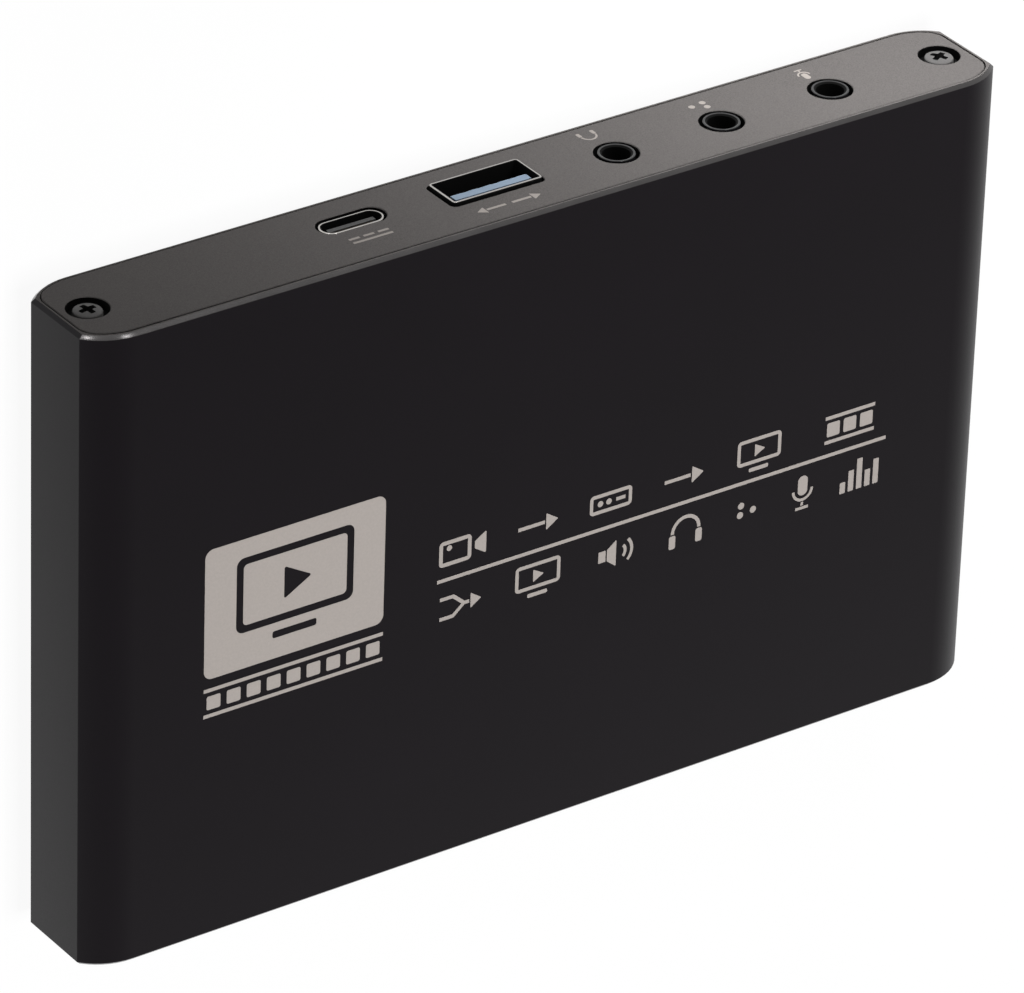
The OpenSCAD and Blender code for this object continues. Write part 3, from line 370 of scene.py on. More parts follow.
class Path:
    """A chain of edges in the XY plane, drawn by straight moves and by turns about a centre."""

    def __init__(self, bm, x, y):
        self.bm = bm
        self.old = set(bm.edges)
        self.first = self.tip = bm.verts.new((x, y, 0))

    def to(self, x, y):
        """Draws a straight edge to a point."""
        here = self.bm.verts.new((x, y, 0))
        self.bm.edges.new((self.tip, here))
        self.tip = here

    def turn(self, x, y, angle):
        """Swings the tip about a centre, counter-clockwise for a positive angle."""
        self.tip = points_in(swung(self.bm, [self.tip], (x, y, 0), angle))[0]

    def close(self):
        """Joins the tip to the start."""
        self.bm.edges.new((self.tip, self.first))

    def edges(self):
        """Every edge that was drawn."""
        return [edge for edge in self.bm.edges if edge not in self.old]

    def mirror(self, axis):
        """Adds the other half of the chain, joined on the axis."""
        half = self.edges()
        bmesh.ops.mirror(
            self.bm, geom=half + corners_of(half), matrix=Matrix.Identity(4),
            merge_dist=WELD, axis=axis,
        )

    def place(self, matrix):
        """Moves the finished chain and returns its edges."""
        drawn = self.edges()
        bmesh.ops.transform(self.bm, matrix=matrix, verts=corners_of(drawn))
        return drawn


def corners_of(edges):
    """The vertices of some edges, each once."""
    return list({vert for edge in edges for vert in edge.verts})


def in_plane(verts):
    """Whether some vertices lie in one plane square to an axis."""
    rows = ([vert.co[axis] for vert in verts] for axis in range(3))
    return any(max(row) - min(row) < BRIDGE_FLAT for row in rows)


def rounded_loop(bm, outline, radius, place):
    """A closed polygon whose corners are arcs."""
    path = None
    for number, corner in enumerate(outline):
        here = Vector(corner)
        arrive = (here - Vector(outline[number - 1])).normalized()
        leave = (Vector(outline[(number + 1) % len(outline)]) - here).normalized()
        turn = math.atan2(arrive.cross(leave), arrive.dot(leave))
        begin = here - arrive * radius * math.tan(abs(turn) / 2)
        if path:
            path.to(*begin)
        else:
            path = Path(bm, *begin)
        if radius:
            left = math.copysign(radius, turn)
            path.turn(begin.x - arrive.y * left, begin.y + arrive.x * left, turn)
    path.close()
    return path.place(place)


def circle_loop(bm, radius, place, sides=ROUND_SIDES):
    """A closed circle of edges."""
    old = set(bm.edges)
    bmesh.ops.create_circle(bm, cap_ends=False, segments=sides, radius=radius, matrix=place)
    return [edge for edge in bm.edges if edge not in old]


def corners(left, low, right, high):
    """Corners of a rectangle, counter-clockwise."""
    return [(left, low), (right, low), (right, high), (left, high)]


def rectangle(width, height):
    """Corners of a rectangle about the origin, counter-clockwise."""
    return corners(-width / 2, -height / 2, width / 2, height / 2)


def bridge(bm, *loops):
    """Bands of faces between each loop and the next, drawn large, and apart where two share a plane."""
    every = corners_of([edge for loop in loops for edge in loop])
    bmesh.ops.scale(bm, vec=[1 / MM] * 3, verts=every)
    bands = []
    for first, second in zip(loops, loops[1:]):
        moved = corners_of(second)
        apart = Vector(BRIDGE_APART if in_plane(corners_of(first + second)) else (0, 0, 0))
        bmesh.ops.translate(bm, vec=apart, verts=moved)
        bands.append(bmesh.ops.bridge_loops(bm, edges=first + second)["faces"])
        bmesh.ops.translate(bm, vec=-apart, verts=moved)
    bmesh.ops.scale(bm, vec=[MM] * 3, verts=every)
    return bands


def fill(bm, *loops):
    """A flat face inside the first loop and outside the others."""
    edges = [edge for loop in loops for edge in loop]
    return bmesh.ops.triangle_fill(bm, use_beauty=True, use_dissolve=False, edges=edges)["geom"]


def soften(bm, edges, offset):
    """Rounds some edges."""
    bmesh.ops.bevel(
        bm, geom=edges, offset=offset, offset_type="OFFSET", affect="EDGES",
        segments=SOFT_STEPS, profile=0.5, material=-1, clamp_overlap=True,
    )


def paint(faces, number):
    """Gives some faces one of their piece's finishes."""
    for face in faces:
        face.material_index = number


def add_object(name, data):
    """Puts a mesh, a lamp or a camera in the scene."""
    made = bpy.data.objects.new(name, data)
    bpy.context.scene.collection.objects.link(made)
    return made


def add_mesh(bm, name, materials):
    """Makes a finished drawing an object."""
    mesh = bpy.data.meshes.new(name)
    bm.to_mesh(mesh)
    bm.free()
    for material in materials:
        mesh.materials.append(material)
    return add_object(name, mesh)


def finish_piece(bm, name, finishes, node=None, body=BODY):
    """Makes the object, rides it on a body and lets it stand for its node."""
    bmesh.ops.recalc_face_normals(bm, faces=bm.faces)
    piece = add_mesh(bm, name, [finish_of(finish) for finish in finishes])
    piece.data.shade_smooth()
    piece.data.set_sharp_from_angle(angle=SMOOTH_ANGLE)
    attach(piece, body)
    if node:
        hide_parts(node)


# Outlines of the case

def across(x, y, z):
    """Places a drawing across the case, about a point: its X to the right and its Y up."""
    return Matrix(((1, 0, 0, x), (0, 0, -1, y), (0, 1, 0, z), (0, 0, 0, 1)))


def edge_radius(case):
    """Radius of the arc along a long edge, from its run and its rise."""
    return (case.edge_run ** 2 + case.edge_rise ** 2) / (2 * case.edge_rise)


def case_outline(bm, case, inset, corner, y):
    """Loop round the case, drawn in by an inset: a quarter with its two arcs, mirrored twice."""
    middle = case.height / 2
    arc_r = edge_radius(case)
    arc_x = case.width / 2 - case.edge_run
    arc_y = arc_r - middle
    corner_x = case.width / 2 - inset - corner
    reach = corner_x - arc_x
    swing = math.asin(reach / (arc_r - inset - corner))
    corner_y = arc_y - reach / math.tan(swing)
    path = Path(bm, 0, inset - middle)
    path.to(arc_x, inset - middle)
    path.turn(arc_x, arc_y, swing)
    path.turn(corner_x, corner_y, math.pi / 2 - swing)
    path.to(case.width / 2 - inset, 0)
    path.mirror("Y")
    path.mirror("X")
    return path.place(across(0, y, middle))


def cavity_outline(bm, case, y):
    """Loop round the hollow of the case, with the board's rails and the screw channels."""
    middle = case.height / 2
    inner_r = edge_radius(case) - case.wall
    arc_x = case.width / 2 - case.edge_run
    arc_y = middle - edge_radius(case)
    side_x = case.width / 2 - case.wall
    rail_x = BOARD[1].x - case.rail_grip
    slot_x = BOARD[1].x + case.board_gap
    slot_low = BOARD[0].z - case.board_gap - middle
    slot_high = BOARD[1].z + case.board_gap - middle
    rail_top = slot_high + case.rail_wall
    channel_x = screw_x()
    channel_r = case.channel_radius
    to_rail = math.asin((rail_x - arc_x) / inner_r)
    from_side = math.acos((side_x - arc_x) / inner_r)
    path = Path(bm, 0, case.wall - middle)
    path.to(arc_x, case.wall - middle)
    path.turn(arc_x, -arc_y, to_rail)
    for x, z in (
        (rail_x, slot_low), (slot_x, slot_low), (slot_x, slot_high), (rail_x, slot_high),
        (rail_x, rail_top), (channel_x, rail_top), (channel_x, -channel_r),
    ):
        path.to(x, z)
    path.turn(channel_x, 0, -math.pi)
    path.to(side_x, channel_r)
    path.to(side_x, arc_y + inner_r * math.sin(from_side))
    path.turn(arc_x, arc_y, math.pi / 2 - from_side)
    path.to(0, middle - case.wall)
    path.mirror("X")
    return path.place(across(0, y, middle))


def screw_x():
    """Distance of the screws from the middle of the case."""
    return bpy.context.scene.capture_box.screw.middle


def middle_of(node):
    """Middle of a node's box."""
    low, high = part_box(node)
    return (low + high) / 2


# Mouths in the end plates

class RoundMouth:
    """A round opening about a place on an end plate."""

    def __init__(self, radius, x, z):
        self.radius, self.x, self.z = radius, x, z

    def loop(self, bm, grow, y):
        """Its outline, grown by an offset."""
        return circle_loop(bm, self.radius + grow, across(self.x, y, self.z))


class SocketMouth:
    """The outline of a socket's can: rounded at its corners, or cut off at the two lower ones."""

    def __init__(self, node, height, corner, cut=0.0):
        low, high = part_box(node)
        self.half_width, self.half_height = (high.x - low.x) / 2, height / 2
        self.corner, self.cut = corner, cut
        self.x, self.z = (low.x + high.x) / 2, high.z - height / 2

    def loop(self, bm, grow, y):
        """Its outline, grown by an offset."""
        a, b = self.half_width + grow, self.half_height + grow
        if self.cut:
            cut = self.cut + grow * (2 - math.sqrt(2))
            outline = [(cut - a, -b), (a - cut, -b), (a, cut - b), (a, b), (-a, b), (-a, cut - b)]
            radius = self.corner
        else:
            outline = rectangle(2 * a, 2 * b)
            radius = min(self.corner + grow, FULL_ROUND * b)
        return rounded_loop(bm, outline, radius, across(self.x, y, self.z))


def rear_cans(socket):
    """Mouths of the cans in the rear plate, by node."""
    power, data = "power_socket_shell", "data_socket_shell"
    return {
        power: SocketMouth(power, socket.power_height, socket.power_height / 2),
        data: SocketMouth(data, socket.data_height, socket.data_round),
    }


def front_cans(socket):
    """Mouths of the cans in the front plate, by node."""
    return {
        node: SocketMouth(node, socket.video_height, socket.video_round, socket.video_cut)
        for node in ("video_in_1_shell", "video_in_2_shell", "video_out_shell")
    }


def jack_axis(jack, name):
    """Place of a jack's axis on the rear plate."""
    return middle_of(f"{name}_jack_body").x, BOARD[1].z + jack.rise


# Finishes

class Shading:
    """A tree of shader nodes and short calls that add to it."""

    def __init__(self, tree):
        self.tree = tree

    def feed(self, socket, value):
        """Sets a value on a socket, or links a node to it."""
        if isinstance(value, bpy.types.NodeSocket):
            self.tree.links.new(value, socket)
        else:
            socket.default_value = value

    def node(self, kind, inputs, **settings):
        """Adds a node with its settings and inputs."""
        made = self.tree.nodes.new(kind)
        for key, value in settings.items():
            setattr(made, key, value)
        for key, value in inputs.items():
            self.feed(made.inputs[key], value)
        return made

    def coords(self, kind):
        """Coordinates of one kind."""
        return self.tree.nodes.new("ShaderNodeTexCoord").outputs[kind]

    def spread(self, value, low, high, first, last):
        """Carries a range of a value to another range."""
        return self.node(
            "ShaderNodeMapRange",
            {"Value": value, "From Min": low, "From Max": high, "To Min": first, "To Max": last},
        ).outputs["Result"]

    def combine(self, operation, first, second):
        """One value from two."""
        return self.node("ShaderNodeMath", {0: first, 1: second}, operation=operation).outputs[0]

    def seen_rays(self):
        """1 for rays from the camera, from a mirror or through glass, and 0 for the rest."""
        path = self.tree.nodes.new("ShaderNodeLightPath")
        seen = path.outputs["Is Camera Ray"]
        for ray in ("Is Glossy Ray", "Is Transmission Ray"):
            seen = self.combine("MAXIMUM", seen, path.outputs[ray])
        return seen


class Finish(Shading):
    """A material, with short calls for the patterns that feed its shader."""

    def __init__(self, colour, roughness, metal=0.0, gloss=0.5):
        self.material = bpy.data.materials.new("finish")
        self.material.use_nodes = True
        super().__init__(self.material.node_tree)
        self.shader = self.tree.nodes["Principled BSDF"]
        self.place = self.coords("Object")
        self.normal = None
        self.set("Base Color", (*colour, 1.0))
        self.set("Roughness", roughness)
        self.set("Metallic", metal)
        self.set("Specular IOR Level", gloss)

    def set(self, socket, value):
        """Sets a value on the shader, or links a node to it."""
        self.feed(self.shader.inputs[socket], value)

    def noise(self, size, detail=3.0, stretch=(1, 1, 1)):
        """Cloudy pattern with features of about that size in metres, drawn out by the stretch."""
        scale = [1 / (size * factor) for factor in stretch]
        place = self.node("ShaderNodeMapping", {"Vector": self.place, "Scale": scale})
        return self.node(
            "ShaderNodeTexNoise",
            {"Vector": place.outputs["Vector"], "Scale": 1.0, "Detail": detail, "Roughness": 0.6},
        ).outputs["Fac"]

    def level(self, pattern, first, last):
        """Carries the middle of a noise's range to another range."""
        return self.spread(pattern, *NOISE_SPAN, first, last)

    def roughen(self, pattern, smooth, rough):
        """Lets the roughness follow a noise."""
        self.set("Roughness", self.level(pattern, smooth, rough))

    def mix(self, factor, first, second):
        """Blend of two colours."""
        return self.node(
            "ShaderNodeMix", {0: factor, 6: opaque(first), 7: opaque(second)}, data_type="RGBA",
        ).outputs[2]

    def tones(self, pattern, colour, dark, light):
        """A colour that a pattern makes darker and lighter."""
        return self.mix(pattern, shade(colour, dark), shade(colour, light))

    def bump(self, height, depth, strength=1.0):
        """Raises the surface by a pattern, over the bumps that it already has."""
        inputs = {"Height": height, "Distance": depth, "Strength": strength}
        if self.normal:
            inputs["Normal"] = self.normal
        self.normal = self.node("ShaderNodeBump", inputs).outputs["Normal"]
        self.set("Normal", self.normal)

    def edges(self, radius):
        """1 along outer edges and 0 on the faces between them."""
        rounded = self.node("ShaderNodeBevel", {"Radius": radius}, samples=6).outputs["Normal"]
        plain = self.tree.nodes.new("ShaderNodeNewGeometry").outputs["Normal"]
        along = self.node("ShaderNodeVectorMath", {0: rounded, 1: plain}, operation="DOT_PRODUCT")
        return self.spread(along.outputs["Value"], 0.99, 0.86, 0.0, 1.0)

    def wear(self, tone, bare, radius, scuffs):
        """Lets the bare metal show through a tone at the outer edges."""
        rub = self.combine("MULTIPLY", self.edges(radius), scuffs)
        self.set("Base Color", self.mix(rub, tone, bare))


def opaque(colour):
    """A colour with its alpha, or a socket as it is."""
    return colour if isinstance(colour, bpy.types.NodeSocket) else (*colour, 1.0)


def shade(colour, factor):
    """A lighter or darker form of a colour."""
    return tuple(min(1.0, channel * factor) for channel in colour)


def black_anodising(colours):
    """Satin black of the tube, with a fine grain, drawing lines along it and rubbed edges."""
    finish = Finish(colours.case, 0.42, gloss=0.16)
    grain = finish.noise(0.11 * MM, 2.0)
    lines = finish.noise(0.35 * MM, 2.0, (1, 60, 1))
    tone = finish.tones(finish.noise(18 * MM, 3.0), colours.case, 0.82, 1.22)
    scuffs = finish.spread(finish.noise(1.5 * MM), 0.35, 0.7, 0.0, 0.12)
    finish.wear(tone, colours.bare, 0.25 * MM, scuffs)
    finish.roughen(grain, 0.38, 0.47)
    finish.bump(grain, 0.006 * MM, 0.5)
    finish.bump(lines, 0.004 * MM, 0.35)
    return finish.material


def machined_rim(colours):
    """Chamfer cut round the ends of the tube after it was dyed, with fine cutter lines."""
    finish = Finish(colours.rim, 0.2, metal=1.0)
    lines = finish.noise(0.08 * MM, 2.0, (14, 1, 1))
    finish.set("Base Color", finish.tones(finish.noise(5 * MM, 2.0), colours.rim, 0.8, 1.25))
    finish.roughen(lines, 0.16, 0.25)
    finish.bump(lines, 0.003 * MM, 0.4)
    return finish.material


def painted_shade_wall(colours):
    """Painted shade: dull near-black for the walls of holes and gaps, where shade falls."""
    finish = Finish(colours.shade, 0.6, gloss=0.05)
    grain = finish.noise(0.1 * MM, 2.0)
    finish.set("Base Color", finish.tones(grain, colours.shade, 0.7, 1.3))
    finish.roughen(grain, 0.5, 0.7)
    finish.bump(grain, 0.004 * MM, 0.4)
    return finish.material


def blasted_grey(colours):
    """Grey of the end plates: blasted, so it has a fine even sparkle and no direction."""
    finish = Finish(colours.plate, 0.55, gloss=0.05)
    grain = finish.noise(0.16 * MM, 3.0)
    clouds = finish.level(finish.noise(9 * MM, 2.0), 0.0, 0.12)
    speckle = finish.tones(finish.level(grain, 0.0, 1.0), colours.plate, 0.76, 1.24)
    tone = finish.mix(clouds, speckle, shade(colours.plate, 1.25))
    scuffs = finish.level(finish.noise(1.2 * MM), 0.05, 0.35)
    finish.wear(tone, colours.bare, 0.12 * MM, scuffs)
    finish.roughen(grain, 0.5, 0.62)
    finish.bump(grain, 0.02 * MM, 0.45)
    return finish.material


def silver_ink(colours):
    """Screen-printed silver-grey ink with a faint mottle."""
    finish = Finish(colours.ink, 0.5, gloss=0.3)
    mottle = finish.noise(0.3 * MM, 3.0)
    finish.set("Base Color", finish.tones(mottle, colours.ink, 0.9, 1.1))
    finish.roughen(mottle, 0.45, 0.58)
    finish.bump(mottle, 0.004 * MM, 0.5)
    return finish.material


def blackened_steel(colours):
    """Steel of the screws, blackened and rubbed at the edges."""
    finish = Finish(colours.screw, 0.36, gloss=0.12)
    grain = finish.noise(0.15 * MM, 3.0)
    scuffs = finish.spread(grain, 0.35, 0.65, 0.15, 0.5)
    finish.wear(finish.tones(grain, colours.screw, 0.75, 1.25), colours.bare, 0.08 * MM, scuffs)
    finish.roughen(grain, 0.3, 0.44)
    finish.bump(grain, 0.006 * MM, 0.5)
    return finish.material


def metal(colour, roughness, streak=(1, 1, 1)):
    """Plated or drawn sheet metal with faint streaks."""
    finish = Finish(colour, roughness, metal=1.0)
    streaks = finish.noise(0.12 * MM, 3.0, streak)
    finish.set("Base Color", finish.tones(finish.noise(2.5 * MM, 3.0), colour, 0.7, 1.2))
    finish.roughen(streaks, roughness * 0.75, roughness * 1.3)
    finish.bump(streaks, 0.003 * MM, 0.4)
    return finish.material


def moulded(colour, roughness, grain_size=0.2):
    """Moulded plastic with a fine spark-eroded grain, in millimetres, and paler worn edges."""
    finish = Finish(colour, roughness, gloss=0.5)
    grain = finish.noise(grain_size * MM, 3.0)
    tone = finish.tones(finish.noise(4 * MM, 2.0), colour, 0.85, 1.15)
    worn = finish.spread(finish.edges(0.1 * MM), 0.0, 1.0, 0.0, 0.25)
    finish.set("Base Color", finish.mix(worn, tone, shade(colour, 2.2)))
    finish.roughen(grain, roughness * 0.8, roughness * 1.25)
    finish.bump(grain, 0.005 * MM, 0.4)
    return finish.material


def solder_mask(colours):
    """Green lacquer over the board's woven glass and its tracks."""
    finish = Finish(colours.board, 0.3, gloss=0.5)
    weave = finish.node(
        "ShaderNodeTexWave", {"Vector": finish.place, "Scale": 900.0, "Distortion": 0.6},
    ).outputs["Fac"]
    tracks = finish.spread(finish.noise(1.1 * MM, 1.0, (1, 6, 1)), 0.5, 0.56, 0.0, 1.0)
    finish.set("Base Color", finish.tones(tracks, colours.board, 0.75, 1.35))
    finish.set("Roughness", finish.spread(weave, 0.0, 1.0, 0.26, 0.34))
    finish.bump(tracks, 0.03 * MM, 0.3)
    finish.bump(weave, 0.004 * MM, 0.4)
    return finish.material


def clear_moulding(colours):
    """Clear plastic of the light pipe, slightly frosted."""
    finish = Finish(colours.clear, 0.12, gloss=0.5)
    frost = finish.noise(0.2 * MM, 2.0)
    finish.set("Transmission Weight", 0.75)
    finish.set("IOR", 1.49)
    finish.roughen(frost, 0.1, 0.28)
    finish.bump(frost, 0.004 * MM, 0.4)
    return finish.material


def make_finishes(colours):
    """The finish of each material slot of the carried-over nodes, and those of the new pieces alone."""
    return {
        "case_black": black_anodising(colours),
        "rim_bright": machined_rim(colours),
        "plate_grey": blasted_grey(colours),
        # painted shade for the walls of holes, gaps and recesses
        "hole_shade": painted_shade_wall(colours),
        "ink_silver": silver_ink(colours),
        "screw_black": blackened_steel(colours),
        "board_green": solder_mask(colours),
        "shell_nickel": metal(colours.nickel, 0.2, (1, 30, 1)),
        "insulator_black": moulded(colours.moulding, 0.4),
        "insulator_grey": moulded(colours.insulator, 0.5),
        "insulator_blue": moulded(colours.tongue, 0.35),
        "contact_gold": metal(colours.gold, 0.22, (1, 20, 1)),
        "spring_silver": metal(colours.steel, 0.26, (1, 20, 1)),
        "jack_black": moulded(colours.moulding, 0.22, 0.3),
        "button_black": moulded(colours.moulding, 0.42, 0.15),
        "plunger_red": moulded(colours.plunger, 0.38),
        "light_clear": clear_moulding(colours),
        "lamp_white": moulded(colours.bulb, 0.3),
        "chip_black": moulded(colours.epoxy, 0.5, 0.12),
        "pad_grey": moulded(colours.pad, 0.75, 0.3),
        "sink_black": moulded(colours.sink, 0.45, 0.1),
        "can_silver": metal(colours.tin, 0.28, (6, 6, 1)),
        "inductor_grey": moulded(colours.ferrite, 0.6, 0.18),
        "ceramic_tan": moulded(colours.ceramic, 0.4, 0.15),
    }


def finish_of(slot):
    """The finish that was made under a name."""
    return bpy.data.materials[f"{slot}_finish"]


# Printed marks

class InkSheet:
    """Flat shapes in millimetres, which the ink's thickness then makes solid."""

    def __init__(self):
        self.bm = bmesh.new()
        self.move(0, 0)

    def move(self, x, y, size=1.0):
        """Sets where the next shapes go and how large they are drawn."""
        self.frame = Matrix.Translation((x, y, 0)) @ Matrix.Scale(size, 4)

    def loop(self, outline, radius=0.0):
        """A closed outline with rounded corners."""
        return rounded_loop(self.bm, outline, radius, self.frame)

    def shape(self, outline, radius=0.0):
        """A filled outline."""
        fill(self.bm, self.loop(outline, radius))

    def bar(self, left, low, right, high, radius=0.0):
        """A filled rectangle."""
        self.shape(corners(left, low, right, high), radius)

    def outline(self, left, low, right, high, width, radius):
        """A rectangle drawn with a line of a width."""
        outer = corners(left, low, right, high)
        inner = corners(left + width, low + width, right - width, high - width)
        fill(self.bm, self.loop(outer, radius), self.loop(inner, max(0.0, radius - width)))

    def dot(self, x, y, radius):
        """A filled circle."""
        place = self.frame @ Matrix.Translation((x, y, 0))
        fill(self.bm, circle_loop(self.bm, radius, place, SMALL_SIDES))

    def band(self, x, y, radius, width, first, last):
        """Part of a ring, from one angle to another in degrees: an edge swung about a centre."""
        ends = []
        for reach in (radius - width / 2, radius + width / 2):
            turned = Matrix.Rotation(math.radians(first), 2) @ Vector((reach, 0))
            ends.append(self.bm.verts.new(self.frame @ Vector((x + turned.x, y + turned.y, 0))))
        edge = self.bm.edges.new(ends)
        centre = self.frame @ Vector((x, y, 0))
        swung(self.bm, ends + [edge], centre, math.radians(last - first))

    def print_on(self, name, place, ink):
        """Gives the shapes their thickness and lays them on a face."""
        bm = self.bm
        raised = bmesh.ops.extrude_face_region(bm, geom=bm.faces[:])["geom"]
        bmesh.ops.translate(bm, verts=points_in(raised), vec=(0, 0, ink / MM))
        bmesh.ops.transform(bm, matrix=place @ Matrix.Scale(MM, 4), verts=bm.verts)
        finish_piece(bm, name, ["ink_silver"])


def draw_arrow(sheet):
    """An arrow to the right."""
    sheet.bar(-3, -0.25, 1, 0.25)
    sheet.shape([(1.2, -1.2), (3, 0), (1.2, 1.2)], 0.08)


def draw_camera(sheet):
    """A video camera."""
    sheet.outline(-3.4, -1.8, 1.4, 1.8, 0.55, 0.6)
    sheet.shape([(1.9, -0.5), (3.6, -1.6), (3.6, 1.6), (1.9, 0.5)], 0.15)
    sheet.dot(-1.9, 0.7, 0.4)


def draw_screen(sheet):
    """A television with a play triangle."""
    sheet.outline(-3.4, -1.3, 3.4, 2.4, 0.5, 0.6)
    sheet.bar(-1.5, -2.4, 1.5, -1.85, 0.2)
    sheet.shape([(-0.7, -0.35), (0.9, 0.55), (-0.7, 1.45)], 0.08)


def draw_device(sheet):
    """A flat box with two lights."""
    sheet.outline(-3.2, -1.4, 3.2, 1.4, 0.5, 0.6)
    sheet.dot(-1.6, 0, 0.42)
    sheet.dot(-0.3, 0, 0.42)
    sheet.bar(0.8, -0.25, 2.2, 0.25)


def draw_film(sheet, frames=3, pitch=2.6, reach=3.9, rail=1.5, half=1.0):
    """A strip of film: a rail on each side and a row of frames between them."""
    for low in (-rail - 0.5, rail):
        sheet.bar(-reach, low, reach, low + 0.5)
    for number in range(frames):
        x = (number - (frames - 1) / 2) * pitch
        sheet.bar(x - 1.0, -half, x + 1.0, half, 0.25)


def draw_merge(sheet):
    """Two lines that become one arrow."""
    upper = [(-3, 1.15), (-1.1, 1.15), (0.25, 0)]
    outer = [(-3, 1.65), (-0.9, 1.65), (0.7, 0.25), (1.4, 0.25)]
    half = upper[::-1] + outer
    sheet.shape(half + [(x, -y) for x, y in reversed(half[1:])])
    sheet.shape([(1.6, -1.1), (3.2, 0), (1.6, 1.1)], 0.08)


def draw_speaker(sheet):
    """A loudspeaker."""
    sheet.bar(-2.6, -0.8, -1.5, 0.8, 0.1)
    sheet.shape([(-1.3, -0.8), (0.1, -1.9), (0.1, 1.9), (-1.3, 0.8)], 0.1)
    for radius in (1.1, 2.1):
        sheet.band(0.4, 0, radius, 0.45, -45, 45)


def draw_headphones(sheet):
    """Headphones."""
    sheet.band(0, -0.1, 2.05, 0.5, 0, 180)
    for side in (-1, 1):
        low, high = sorted((side * 1.55, side * 2.55))
        sheet.bar(low, -2.2, high, -0.3, 0.3)


def draw_dots(sheet):
    """Three dots for a line signal."""
    for x, y in ((-0.95, -0.5), (-0.85, 0.83), (1.05, -0.2)):
        sheet.dot(x, y, 0.48)


def draw_microphone(sheet):
    """A microphone on its foot."""
    sheet.bar(-0.75, -0.5, 0.75, 2.3, 0.7)
    sheet.band(0, 0.3, 1.45, 0.4, 180, 360)
    sheet.bar(-0.2, -2.0, 0.2, -1.5)
    sheet.bar(-1.0, -2.55, 1.0, -2.15)


def draw_levels(sheet):
    """A row of level bars."""
    for number, height in enumerate((1.6, 3.0, 4.4, 2.4, 3.6)):
        x = number * 1.3 - 3.05
        sheet.bar(x, -2.2, x + 0.85, height - 2.2, 0.12)


def draw_direct_current(sheet):
    """A line over three dashes."""
    sheet.bar(-3, 0.3, 3, 0.72)
    for x in (-2.2, 0, 2.2):
        sheet.bar(x - 0.8, -0.72, x + 0.8, -0.3)


def draw_both_ways(sheet):
    """Two arrows, one each way."""
    for side in (-1, 1):
        shaft = sorted((side * 0.5, side * 3.4))
        sheet.bar(shaft[0], -0.22, shaft[1], 0.22)
        head = [(side * 3.6, -0.8), (side * 4.9, 0), (side * 3.6, 0.8)]
        sheet.shape(head[::side], 0.06)


def draw_number(sheet, strokes):
    """A plain number in bars, named by where they lie."""
    places = {
        "top": (-0.5, 1.05, 0.5, 1.4),
        "middle": (-0.5, -0.17, 0.5, 0.17),
        "foot": (-0.5, -1.4, 0.5, -1.05),
        "upper right": (0.6, 0.27, 0.95, 1.3),
        "lower right": (0.6, -1.3, 0.95, -0.27),
        "lower left": (-0.95, -1.3, -0.6, -0.27),
    }
    for stroke in strokes:
        sheet.bar(*places[stroke], 0.08)


def draw_one(sheet):
    """The number 1."""
    draw_number(sheet, ("upper right", "lower right"))


def draw_two(sheet):
    """The number 2."""
    draw_number(sheet, ("top", "upper right", "middle", "lower left", "foot"))


# Operators

